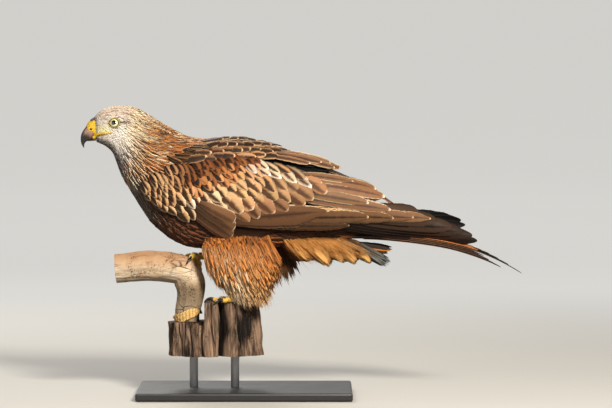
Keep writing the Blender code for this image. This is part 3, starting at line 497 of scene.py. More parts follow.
@dataclass(frozen=True)
class WoodFinish:
    """Dead wood: stretched grain, cracks along it, pits and weathered patches, another tone above, and painted shade
    low down and in the cracks and pits.
    """

    name: str
    pale: tuple[float, float, float]
    mid: tuple[float, float, float]
    dark: tuple[float, float, float]
    grain: tuple[float, float, float]
    bare: tuple[float, float, float] = (236, 214, 184)
    bareness: float = 0.5
    crack: float = 0.5
    rough: float = 0.8
    above: tuple[float, float, float] = (176, 122, 76)
    above_from: float = 9.0
    # The painted shade's colour, and the height under which it lies.
    below: tuple[float, float, float] = (128, 108, 82)
    painted_shade_from: float = -9.0
    speckle: float = 0.3
    core: tuple[float, ...] = ()
    cut: tuple[float, ...] = ()
    split_width: float = 0.05
    char: float = 0.0

    def make(self) -> bpy.types.Material:
        """Builds the material: noise stretched by grain gives the fibres, cells the cracks."""
        g = Graph(self.name)
        x, y, height = g.coordinates()
        fibre = g.noise(g.place(self.grain), 210.0, 6.0, 0.65)
        broad = g.noise(g.place(tuple(0.3 + 0.7 * x for x in self.grain)), 34.0, 4.0)
        blotch = g.noise(g.place(), 42.0, 4.0, 0.6)
        specks = g.noise(g.place(), 620.0, 3.0, 0.7)
        splits = g.cells(g.place(self.grain), 75.0)
        pits = g.cells(g.place(), 300.0, "F1")
        colour = g.mix(srgb(*self.mid), srgb(*self.pale), (fibre * 0.6 + broad * 0.6).ease(0.45, 0.8))
        colour = g.mix(colour, srgb(*self.bare), blotch.ease(0.62 - 0.2 * self.bareness, 0.75) * self.bareness)
        high = (height + (blotch - 0.5) * 0.03 + (broad - 0.5) * 0.03 + (fibre - 0.5) * 0.02)
        high = high.ease(self.above_from - 0.008, self.above_from + 0.018)
        colour = g.mix(colour, srgb(*self.above), high * (0.45 + fibre * 0.7).least(1.0))
        # Painted shade: low down the wood turns a darker olive-grey.
        low = (self.painted_shade_from - height + (broad - 0.5) * 0.03).ease(-0.006, 0.012)
        colour = g.mix(colour, srgb(*self.below), low * (0.5 + fibre * 0.5).least(1.0))
        if self.core:
            reach = ((x - self.core[0]) / self.core[2]) ** 2.0 + ((y - self.core[1]) / self.core[3]) ** 2.0
            hollow = (1.0 - reach.ease(0.34, 0.74)) * (self.core[4] - height).ease(0.0, 0.002)
            colour = g.mix(colour, srgb(13, 10, 9), hollow * 0.92)
        colour = g.mix(colour, srgb(*self.dark), (1.0 - (fibre * 0.7 + broad * 0.5).ease(0.32, 0.55)) * 0.75)
        burnt = (1.0 - broad.ease(0.4, 0.52)) * self.char
        colour = g.mix(colour, srgb(*self.dark), burnt * (1.0 - fibre.ease(0.42, 0.68)))
        if self.cut:
            out = ((y - self.cut[1]) ** 2.0 + (height - self.cut[2]) ** 2.0) ** 0.5
            rings = (out * 3600.0 + blotch * 9.0).wave() * 0.5 + 0.5
            ahead = (x - self.cut[0]) * 0.9965 + (height - self.cut[2]) * 0.083
            face = (0.0005 - ahead).ease(0.0, 0.0003)
            colour = g.mix(colour, g.mix(srgb(212, 172, 124), srgb(146, 104, 68), rings), face * 0.9)
        freckle = (specks * 0.7 + blotch * 0.45).ease(0.66, 0.74) * self.speckle
        split = (1.0 - splits.ease(0.0, self.split_width)) * broad.ease(0.62 - 0.3 * self.crack, 0.72)
        pit = (1.0 - pits.ease(0.1, 0.34)) * blotch.ease(0.46, 0.6)
        # Painted shade in the cracks and pits, joined with the wood's real freckles into one darkening.
        shadow = (split + pit * 0.8 + freckle).least(1.0)
        colour = g.mix(colour, srgb(22, 17, 13), shadow * 0.85)
        relief = fibre * 0.8 + broad * 0.5 + specks * 0.25 - shadow * 1.4
        return g.finish(colour, self.rough, relief, 1.1 * MM, 0.8, Specular_IOR_Level=0.2)


@dataclass(frozen=True)
class TwineFinish:
    """Old rope: yellow-brown fibres twisted along each cord, with painted shade in the grooves of the twist."""

    def make(self) -> bpy.types.Material:
        """Builds the material. The map runs round and along each cord."""
        g = Graph("twine")
        around, along = g.plume()
        twist = ((around * 12.566 + along * 150.0).wave() * 0.5 + 0.5)
        fibres = g.noise(g.place(), 900.0, 4.0, 0.7)
        stain = g.noise(g.place(), 110.0, 3.0)
        colour = g.mix(srgb(226, 168, 84), srgb(255, 222, 150), twist * 0.5 + fibres * 0.5)
        # Painted shade in the grooves between the twisted strands.
        colour = g.mix(colour, srgb(104, 66, 30), (1.0 - twist.ease(0.0, 0.35)) * 0.6)
        colour = g.mix(colour, srgb(128, 84, 44), stain.ease(0.5, 0.8) * 0.6)
        return g.finish(colour, 0.85, twist + fibres * 0.6, 0.5 * MM, 0.7)


@dataclass(frozen=True)
class PaintFinish:
    """Satin paint on the stand, a little uneven and worn."""

    name: str
    colour: tuple[float, float, float]
    rough: float = 0.45
    metal: float = 0.0

    def make(self) -> bpy.types.Material:
        """Builds the material from fine and broad clouds."""
        g = Graph(self.name)
        fine = g.noise(g.place(), 1400.0, 3.0)
        broad = g.noise(g.place((1, 1, 1)), 28.0, 3.0)
        colour = g.shade(srgb(*self.colour), 0.9 + broad * 0.2)
        rough = self.rough + broad * 0.16 - 0.08
        return g.finish(colour, rough, fine, 0.05 * MM, 0.3, Metallic=self.metal)


@dataclass(frozen=True)
class FloorFinish:
    """A plain pale studio floor that glows faintly far out, so that its rim is as pale as its middle."""

    def make(self) -> bpy.types.Material:
        """Builds the material with the faintest cloudiness."""
        g = Graph("studio floor")
        x, y, _ = g.coordinates()
        far = ((x * x + y * y) ** 0.5).ease(0.6, 2.4)
        clouds = g.noise(g.place(), 3.0, 3.0)
        colour = g.shade(srgb(212, 209, 202), (0.98 + clouds * 0.04) * (1.0 - far * 0.85))
        return g.finish(colour, 0.75, Emission_Color=g.shade(srgb(203, 202, 198), far), Emission_Strength=1.0)


BODY_STATIONS = MM * np.array([
    (-210, 391, -207.8, 355.5, 8.5), (-204, 397, -201, 353.5, 14.5), (-193, 403, -193, 349, 19),
    (-178, 406, -185, 341, 22.5), (-161, 405.5, -180, 329, 24.5), (-144, 399, -175, 316, 27),
    (-125, 386.5, -169, 304, 31), (-102, 372.5, -160, 290, 37), (-77, 361, -148, 271, 45),
    (-49, 358.5, -127, 241.5, 51), (-13, 358.5, -91, 215, 53), (24, 351.5, -42, 206, 52),
    (60, 341.5, 7, 206, 47), (98, 326, 55, 212, 39), (136, 303, 102, 219, 30), (168, 274, 147, 223, 22),
    (200, 248, 189, 226, 15),
])
WING_STATIONS = np.array([
    (-150, 297, 4, 33, 0.05, 0.05), (-140, 295, 14, 41, 0.06, 0.10), (-122, 291, 27, 51, 0.10, 0.16),
    (-98, 288, 36, 58, 0.15, 0.22), (-60, 284, 50, 62, 0.25, 0.28), (-7, 281, 59, 63, 0.38, 0.33),
    (49, 281, 53, 59, 0.49, 0.33), (105, 277, 46, 51, 0.53, 0.32), (161, 267, 38, 41, 0.55, 0.31),
    (217, 252, 28, 31, 0.52, 0.28), (273, 236, 17, 21.5, 0.42, 0.24), (325, 219, 8, 14, 0.20, 0.20),
]) * (MM, MM, MM, MM, 1, 1)
THIGH_STATIONS = {
    LEFT: MM * np.array([
        (-10, 27, 232, 44, 17), (-11, 31, 212, 49, 20), (-8, 32, 193, 45, 20), (-4, 31, 176, 34, 17),
        (0, 30, 161, 24, 13), (6, 29, 151, 12, 9),
    ]),
    RIGHT: MM * np.array([
        (-4, 27, 232, 36, 17), (-4, 30, 218, 38, 19), (-3, 31, 206, 34, 19), (0, 31, 196, 28, 16),
        (6, 30, 187, 19, 12), (12, 29, 180, 10, 8),
    ]),
}


def section_point(stations: Array, place: Array, turn: Array, lift: Array | float = 0.0) -> Array:
    """A place on a form with a top line, a bottom line and a half width, raised by lift.

    Args:
        stations: rows of top x, top z, bottom x, bottom z and half width.
        place: fractional row number.
        turn: angle round the section from its top, positive towards the bird's right.
        lift: height over the surface.

    Returns:
        Points. Middle + up * (half height + lift) * cos(turn), and (half width + lift) * sin(turn) across.
    """
    row = through(stations, place)
    top, bottom, half_width = row[..., 0:2], row[..., 2:4], row[..., 4]
    centre, rise = (top + bottom) / 2, (top - bottom) / 2
    half_height = np.linalg.norm(rise, axis=-1)
    up = rise / half_height[..., None]
    reach = (half_height + lift) * np.cos(turn)
    across = (half_width + lift) * np.sin(turn)
    return np.stack([centre[..., 0] + up[..., 0] * reach, across, centre[..., 1] + up[..., 1] * reach], axis=-1)


class Chart:
    """A surface of two numbers and a lift on which feathers lie."""

    hand = 1

    def point(self, first: Array, second: Array, lift: Array | float = 0.0) -> Array:
        """The place in space of a place on the surface."""
        raise NotImplementedError

    def slopes(self, first: Array, second: Array) -> tuple[Array, Array]:
        """How the surface moves with each of its two numbers."""
        step = 1e-4
        along = self.point(first + step, second) - self.point(first - step, second)
        across = self.point(first, second + step) - self.point(first, second - step)
        return along / (2 * step), across / (2 * step)

    def normals(self, first: Array, second: Array) -> Array:
        """Unit vectors straight out of the surface."""
        along, across = self.slopes(first, second)
        return unit(np.cross(along, across)) * self.hand

    def lay(self, first: Array, second: Array, vectors: Array) -> Array:
        """Steps of the surface's two numbers that move a place by vectors in space, within the surface."""
        along, across = self.slopes(first, second)
        aa, ac, cc = (np.sum(p * q, axis=-1) for p, q in ((along, along), (along, across), (across, across)))
        pa, pc = np.sum(vectors * along, axis=-1), np.sum(vectors * across, axis=-1)
        whole = aa * cc - ac**2
        return np.stack([(pa * cc - pc * ac) / whole, (pc * aa - pa * ac) / whole], axis=-1)

    def headings(self, first: Array, second: Array, angle: Array) -> tuple[Array, Array]:
        """Unit vectors ahead and aside, for angles from the first number's way towards the second's."""
        along, across = self.slopes(first, second)
        along = unit(along)
        across = unit(across - along * np.sum(across * along, axis=-1, keepdims=True))
        cos, sin = np.cos(angle)[..., None], np.sin(angle)[..., None]
        return along * cos + across * sin, across * cos - along * sin


class BodyChart(Chart):
    """Head, neck and torso: fractional station, and angle from the back's middle line."""

    def point(self, first: Array, second: Array, lift: Array | float = 0.0) -> Array:
        """The place on the feathered body."""
        return section_point(BODY_STATIONS, first, second, lift)


class BillChart(Chart):
    """The cere and bill: fractional station, and angle from the ridge."""

    hand = -1

    def point(self, first: Array, second: Array, lift: Array | float = 0.0) -> Array:
        """The place on the bill."""
        return section_point(Bill().stations, first, second, lift)


@dataclass
class WingChart(Chart):
    """The outer side of a folded wing: x and height. The far wing's tip is carried a little higher."""

    side: int
    tip_lift: float = 20 * MM

    @property
    def hand(self) -> int:
        """1 where x and height turn outwards by themselves, which they do on the left."""
        return -self.side

    @staticmethod
    def row(x: Array) -> Array:
        """The wing's middle height, half height, breadth and two sags at this x."""
        stations = WING_STATIONS[:, 0]
        return through(WING_STATIONS, np.interp(x, stations, np.arange(len(stations))))[..., 1:]

    def off_middle(self, x: Array, z: Array) -> Array:
        """How far up or down the wing a place is, from -1 at its lower edge to 1 at its upper."""
        row = self.row(x)
        return (z - row[..., 0]) / row[..., 1]

    def point(self, first: Array, second: Array, lift: Array | float = 0.0) -> Array:
        """Out from the middle plane by breadth * (1 - sag * off^2) + lift, off being the share of the height."""
        row = self.row(first)
        off = np.clip((second - row[..., 0]) / row[..., 1], -1.3, 1.3)
        sag = np.where(off > 0, row[..., 3], row[..., 4])
        out = row[..., 2] * (1 - sag * off**2) + lift
        share = (first - WING_STATIONS[0, 0]) / np.ptp(WING_STATIONS[:, 0])
        raised = second + (self.tip_lift if self.side == RIGHT else 0.0) * np.maximum(share, 0) ** 3
        return np.stack([first, self.side * out, raised], axis=-1)


@dataclass
class TailChart(Chart):
    """The closed tail's upper surface: x and distance across."""

    root_x: float = 152 * MM
    ridge: float = 231.5 * MM

    def point(self, first: Array, second: Array, lift: Array | float = 0.0) -> Array:
        """Height = ridge - 0.326 d^2 - 2.774 d^3 - 5 y^2 + 0.1 y + lift, with d the distance behind the root."""
        behind = first - self.root_x
        fall = 0.326 * behind**2 + 2.774 * behind**3
        z = self.ridge - fall - 5.0 * second**2 + 0.1 * second + lift
        return np.stack([first, second, z], axis=-1)


@dataclass
class FreeChart(Chart):
    """A frame of its own for every loose feather. Its line bends by droop along a second way."""

    origin: Array
    ahead: Array
    aside: Array
    out: Array
    bend: Array

    def point(self, first: Array, second: Array, lift: Array | float = 0.0) -> Array:
        """Origin + ahead * first + aside * second + out * lift + bend * first^2, one frame a feather."""
        shape = (len(self.origin),) + (1,) * (np.ndim(first) - 1) + (3,)
        parts = [np.reshape(v, shape) for v in (self.origin, self.ahead, self.aside, self.out, self.bend)]
        first, second = np.asarray(first)[..., None], np.asarray(second)[..., None]
        lift = np.broadcast_to(lift, first.shape[:-1])[..., None]
        return parts[0] + parts[1] * first + parts[2] * second + parts[3] * lift + parts[4] * first**2


@dataclass(frozen=True)
class Form:
    """How one kind of feather is shaped and how finely it is drawn."""

    outline: tuple[tuple[float, float, float], ...]
    rows: int = 5
    top: int = 3
    under: int = 0
    thickness: float = 0.25 * MM
    split: float = 0.0
    crowd: float = 1.0

    def shares(self) -> Array:
        """Where the rows stand along the feather, closer to one another near the tip."""
        even = np.linspace(0, 1, self.rows)
        return 1 - (1 - even) ** self.crowd

    def widths(self, shares: Array) -> tuple[Array, Array]:
        """The vane's two half widths at these shares of the length."""
        table = np.array(self.outline)
        return np.interp(shares, table[:, 0], table[:, 1]), np.interp(shares, table[:, 0], table[:, 2])


def rounded(root: float, widest: float, blunt: float, narrow: float = 1.0) -> tuple:
    """An outline that swells from its root and closes in a rounded tip.

    Args:
        root: width at the root.
        widest: the share of the length where it is widest.
        blunt: power of the closing curve: 2 is an ellipse, more is squarer, less is pointed.
        narrow: width of the outer web as a share of the inner one.

    Returns:
        Rows of share, outer half width and inner half width.
    """
    rows = []
    for share in np.linspace(0, 1, 33):
        if share < widest:
            width = root + (1 - root) * math.sin(math.pi / 2 * share / widest)
        else:
            width = (1 - ((share - widest) / (1.012 - widest)) ** blunt) ** (1 / blunt)
        rows.append((share, width * narrow, width))
    return tuple(rows)


FLUFF = Form(rounded(0.45, 0.5, 1.25), rows=4)
SCALE = Form(rounded(0.5, 0.55, 1.7), rows=5, crowd=1.15)
BODY_PLUME = Form(rounded(0.45, 0.55, 1.8), rows=6, crowd=1.2)
COVERT = Form(rounded(0.42, 0.56, 1.65), rows=12, top=5, under=1, crowd=1.3, split=0.10)
GREAT_COVERT = Form(rounded(0.4, 0.66, 2.4, 0.92), rows=24, top=7, under=3, crowd=1.25, split=0.12)
QUILL = Form(rounded(0.35, 0.62, 2.5, 0.8), rows=64, top=9, under=5, crowd=1.2, split=0.10, thickness=0.4 * MM)
PRIMARY = Form(rounded(0.4, 0.78, 2.8, 0.9), rows=72, top=9, under=5, crowd=1.25, split=0.04, thickness=0.4 * MM)
TAIL_QUILL = Form(rounded(0.4, 0.42, 1.35, 0.85), rows=72, top=9, under=5, crowd=1.15, split=0.05,
                  thickness=1.0 * MM)
STRAND = Form(rounded(0.7, 0.3, 1.1), rows=6, thickness=0.12 * MM)
LOBE = Form(rounded(0.4, 0.6, 2.0), rows=16, top=7, under=3, crowd=1.2, split=0.16)
BLUNT = Form(rounded(0.45, 0.8, 3.6), rows=24, top=7, under=3, crowd=1.25, split=0.08)
SLANT = Form(tuple((a[0], a[1], 0.7 * b[2]) for a, b in zip(rounded(0.4, 0.68, 1.12), rounded(0.4, 0.66, 1.5), strict=True)),
             rows=64, top=9, under=5, crowd=1.2, split=0.06, thickness=0.4 * MM)
SILK = Form(rounded(0.55, 0.4, 1.3), rows=7)


@dataclass
class Paint:
    """Colours and marks of a batch of feathers, one row a feather, or one row for all."""

    ground: Array
    heart: Array
    rim: Array
    heart_width: Array | float = 0.3
    heart_reach: Array | float = 0.9
    rim_width: Array | float = 0.1
    bars: Array | float = 0.0

    def spread(self, count: int) -> Paint:
        """The same paint with one row for each of count feathers."""
        colours = [np.broadcast_to(c, (count, 3)).copy() for c in (self.ground, self.heart, self.rim)]
        numbers = [
            np.broadcast_to(n, (count,)).copy()
            for n in (self.heart_width, self.heart_reach, self.rim_width, self.bars)
        ]
        return Paint(*colours, *numbers)


@dataclass
class Plumes:
    """A batch of feathers on a chart: where they start, how they run and how they rise."""

    root: Array
    ahead: Array
    aside: Array
    length: Array
    width: Array
    lift: Array
    camber: Array | float = 0.1
    bow: Array | float = 0.0
    roll: Array | float = 0.0
    curl: Array | float = 0.0


class Coat:
    """One piece of plumage. Batches of feathers become one mesh of closed, thin vanes."""

    def __init__(self, name: str, material: bpy.types.Material, seed: int) -> None:
        """Starts an empty coat."""
        self.name, self.material = name, material
        self.rng = np.random.default_rng(seed)
        self.points: list[Array] = []
        self.faces: list[Array] = []
        self.flat: list[Array] = []
        self.maps: list[Array] = []
        self.marks: list[Array] = []
        self.owners: list[Array] = []
        self.places: list[Array] = []
        self.size = 0
        self.feathers = 0

    def lay(self, chart: Chart, plumes: Plumes, form: Form, paint: Paint) -> None:
        """Adds a batch of feathers.

        Each is a tube of flat rings round the vane. At share v of its length and share u of its width the
        vane stands lift + camber * width * (1 - u^2) + roll * u * v over the chart.

        Args:
            chart: the surface that they lie on.
            plumes: the feathers.
            form: their common shape.
            paint: their colours.
        """
        count = len(plumes.root)
        if not count:
            return
        shares = form.shares()
        u_top = np.linspace(-1, 1, form.top)
        u_under = np.linspace(1, -1, form.under + 2)[1:-1]
        across = np.concatenate([u_top, u_under])
        below = np.concatenate([np.zeros(form.top), np.ones(form.under)])
        rows, columns = len(shares), len(across)
        # The middle of each row runs ahead of its edges, so the tip is never a straight cut.
        v = np.clip(shares[:, None] + 0.035 * (1 - across**2)[None, :] - 0.035, 0, 1)
        v = np.broadcast_to(v, (count, rows, columns))
        outer, inner = form.widths(shares)
        ragged = np.zeros((count, rows, 2))
        if form.split:
            nicks = self.rng.random((count, rows, 2))
            ragged = form.split * (nicks > 0.72) * nicks * np.clip(shares * 3 - 0.4, 0, 1)[None, :, None]
        half_low = outer[None, :] * (1 - ragged[..., 0])
        half_high = inner[None, :] * (1 - ragged[..., 1])
        half = np.where(across[None, None, :] < 0, half_low[..., None], half_high[..., None])
        width = plumes.width[:, None, None] / 2
        off = width * half * across + np.broadcast_to(plumes.bow, (count,))[:, None, None] * np.sin(np.pi * v)
        first = plumes.root[:, 0, None, None] + plumes.ahead[:, 0, None, None] * v + plumes.aside[:, 0, None, None] * off
        second = plumes.root[:, 1, None, None] + plumes.ahead[:, 1, None, None] * v + plumes.aside[:, 1, None, None] * off
        camber, roll, curl = (
            np.broadcast_to(x, (count,))[:, None, None] for x in (plumes.camber, plumes.roll, plumes.curl)
        )
        rise = np.minimum(v * 1.5, 1)
        lift = plumes.lift[:, 0, None, None] * (1 - rise) + plumes.lift[:, 1, None, None] * rise
        lift = lift + camber * width * half * (1 - across**2) + roll * across * v + curl * v**3
        lift = lift - below * (form.thickness * (1 - 0.6 * shares))[None, :, None]
        self.points.append(chart.point(first, second, lift).reshape(-1, 3))
        self.add_faces(count, rows, columns, form.top)
        self.maps.append(np.stack([np.broadcast_to((across + 1) / 2, v.shape), v], axis=-1).reshape(-1, 2))
        self.add_marks(plumes, paint.spread(count), rows * columns)
        self.owners.append(np.repeat(np.arange(count) + self.feathers, rows * columns))
        self.places.append(plumes.root)
        self.feathers += count

    def add_faces(self, count: int, rows: int, columns: int, top: int) -> None:
        """Adds the sides and the two end caps of a batch of tubes."""
        row, column = np.meshgrid(np.arange(rows - 1), np.arange(columns), indexing="ij")
        near, far = row * columns + column, row * columns + (column + 1) % columns
        quads = np.stack([near, near + columns, far + columns, far], axis=-1).reshape(-1, 4)
        under = np.broadcast_to(np.arange(columns) >= top - 1, (rows - 1, columns)).reshape(-1)
        starts = self.size + np.arange(count) * rows * columns
        self.faces.append((starts[:, None, None] + quads[None]).reshape(-1, 4))
        self.flat.append(np.tile(under if top == 3 else np.zeros_like(under), count))
        caps = []
        for base, step in ((0, 1), ((rows - 1) * columns, -1)):
            ring = base + np.arange(columns)[::step]
            for low in range(1, columns - 1):
                caps.append((ring[0], ring[low], ring[low + 1], ring[low + 1]))
        caps = np.array(caps)
        self.faces.append((starts[:, None, None] + caps[None]).reshape(-1, 4))
        self.flat.append(np.ones(len(caps) * count, bool))
        self.size += count * rows * columns

    def add_marks(self, plumes: Plumes, paint: Paint, each: int) -> None:
        """Adds the sixteen numbers that the finish reads, the same for every point of a feather."""
        count = len(plumes.root)
        chance = self.rng.random(count)
        tone = (1 + self.rng.normal(0, 0.09, (count, 1))) * (1 + self.rng.normal(0, 0.02, (count, 3)))
        columns = [
            np.clip(paint.ground * tone, 0, 1), paint.heart_width[:, None] * (1 + self.rng.normal(0, 0.1, (count, 1))),
            np.clip(paint.heart * tone, 0, 1), paint.heart_reach[:, None],
            np.clip(paint.rim * tone, 0, 1), paint.rim_width[:, None],
            chance[:, None], plumes.length[:, None] * 10, plumes.width[:, None] * 10, paint.bars[:, None],
        ]
        self.marks.append(np.repeat(np.concatenate(columns, axis=1), each, axis=0))

    def bake_cells(self) -> Array:
        """The lower left corner of each feather's cell on the bake map, in the order of the roots."""
        places = np.concatenate(self.places)
        across = math.ceil(math.sqrt(self.feathers))
        order = np.argsort(places[:, 0], kind="stable")
        corner = np.zeros((self.feathers, 2))
        for number, start in enumerate(range(0, self.feathers, across)):
            chunk = order[start:start + across]
            chunk = chunk[np.argsort(places[chunk, 1], kind="stable")]
            corner[chunk, 0] = np.arange(len(chunk)) / across
            corner[chunk, 1] = number / across
        return np.concatenate([corner, np.full((self.feathers, 1), 1 / across)], axis=1)

    def build(self) -> bpy.types.Object:
        """Writes the mesh with its map, its bake map and its marks."""
        points, faces = np.concatenate(self.points), np.concatenate(self.faces)
        flat, maps = np.concatenate(self.flat), np.concatenate(self.maps)
        triangles = faces[:, 2] == faces[:, 3]
        sizes = np.where(triangles, 3, 4)
        keep = np.ones(faces.shape, bool)
        keep[triangles, 3] = False
        corners = faces[keep]
        mesh = bpy.data.meshes.new(self.name)
        mesh.vertices.add(len(points))
        mesh.vertices.foreach_set("co", points.astype(np.float32).ravel())
        mesh.loops.add(len(corners))
        mesh.loops.foreach_set("vertex_index", corners.astype(np.int32))
        mesh.polygons.add(len(faces))
        starts = np.concatenate([[0], np.cumsum(sizes)[:-1]])
        mesh.polygons.foreach_set("loop_start", starts.astype(np.int32))
        mesh.update(calc_edges=True)
        sharp = mesh.attributes.new("sharp_face", "BOOLEAN", "FACE")
        sharp.data.foreach_set("value", flat)
        mesh.uv_layers.new(name=PLUME_MAP).uv.foreach_set("vector", maps[corners].astype(np.float32).ravel())
        cells = self.bake_cells()[np.concatenate(self.owners)]
        baked = cells[:, :2] + cells[:, 2:] * (0.06 + 0.88 * maps)
        mesh.uv_layers.new(name=BAKE_MAP).uv.foreach_set("vector", baked[corners].astype(np.float32).ravel())
        marks = np.concatenate(self.marks)
        for number, name in enumerate(("Ground", "Heart", "Rim", "Wear")):
            layer = mesh.attributes.new(name, "FLOAT_COLOR", "POINT")
            layer.data.foreach_set("color", marks[:, number * 4:number * 4 + 4].astype(np.float32).ravel())
        mesh.materials.append(self.material)
        piece = bpy.data.objects.new(self.name, mesh)
        bpy.context.scene.collection.objects.link(piece)
        mesh.validate()
        total = int(np.sum(sizes - 2))
        log.info("%s: %d feathers, %d triangles", self.name, self.feathers, total)
        return piece


def scatter(chart: Chart, firsts: tuple[float, float], seconds: tuple[float, float],
            spacing: Callable[[Array, Array], Array], rng: np.random.Generator) -> Array:
    """Feather roots spread evenly over part of a chart, in staggered rows.

    Args:
        chart: the surface.
        firsts: the range of its first number.
        seconds: the range of its second number.
        spacing: the distance wanted between roots, from the two numbers.
        rng: seeded random numbers.

    Returns:
        Roots, two numbers a row.
    """
    roots = []
    first = firsts[0]
    second = np.linspace(*seconds, 400)
    while first < firsts[1]:
        row = np.full_like(second, first)
        gap = spacing(row, second)
        along, across = chart.slopes(row, second)
        step = float(np.median(gap / np.linalg.norm(along, axis=1))) * 0.87
        area = np.linalg.norm(np.cross(along, across), axis=1)
        count = np.cumsum(area * step / gap**2) * (second[1] - second[0])
        wanted = np.arange(rng.random(), count[-1], 1.0)
        if len(wanted):
            place = np.interp(wanted + rng.normal(0, 0.13, len(wanted)), count, second)
            roots.append(np.stack([first + rng.normal(0, 0.16, len(place)) * step, place], axis=-1))
        first += step
    return np.concatenate(roots)


def on_chart(chart: Chart, root: Array, angle: Array, length: Array, width: Array, lift: Array,
             **shape: Array | float) -> Plumes:
    """Feathers that leave their roots at an angle, with their steps worked out at the root.

    Args:
        chart: the surface.
        root: places on it.
        angle: heading, from the first number's way towards the second's.
        length: lengths.
        width: widths.
        lift: two numbers a row, at the root and at the tip.
        shape: camber, bow, roll and curl.

    Returns:
        The batch.
    """
    ahead, aside = chart.headings(root[:, 0], root[:, 1], angle)
    return Plumes(
        root, chart.lay(root[:, 0], root[:, 1], ahead * length[:, None]),
        chart.lay(root[:, 0], root[:, 1], aside), length, width, lift, **shape,
    )


def between(chart: Chart, root: Array, tip: Array, width: Array, lift: Array, **shape: Array | float) -> Plumes:
    """Feathers from root to tip, both given on the chart.

    Args:
        chart: the surface.
        root: places of the roots.
        tip: places of the tips.
        width: widths.
        lift: two numbers a row, at the root and at the tip.
        shape: camber, bow, roll and curl.

    Returns:
        The batch.
    """
    middle = (root + tip) / 2
    along, across = chart.slopes(middle[:, 0], middle[:, 1])
    step = tip - root
    ahead = along * step[:, :1] + across * step[:, 1:]
    normal = chart.normals(middle[:, 0], middle[:, 1]) * chart.hand
    aside = unit(np.cross(normal, ahead))
    return Plumes(
        root, step, chart.lay(middle[:, 0], middle[:, 1], aside), np.linalg.norm(ahead, axis=1), width, lift,
        **shape,
    )


def blend(first: Array, second: Array, share: Array) -> Array:
    """Colours turned from first into second by a share for each row."""
    share = np.asarray(share)[..., None]
    return first * (1 - share) + second * share


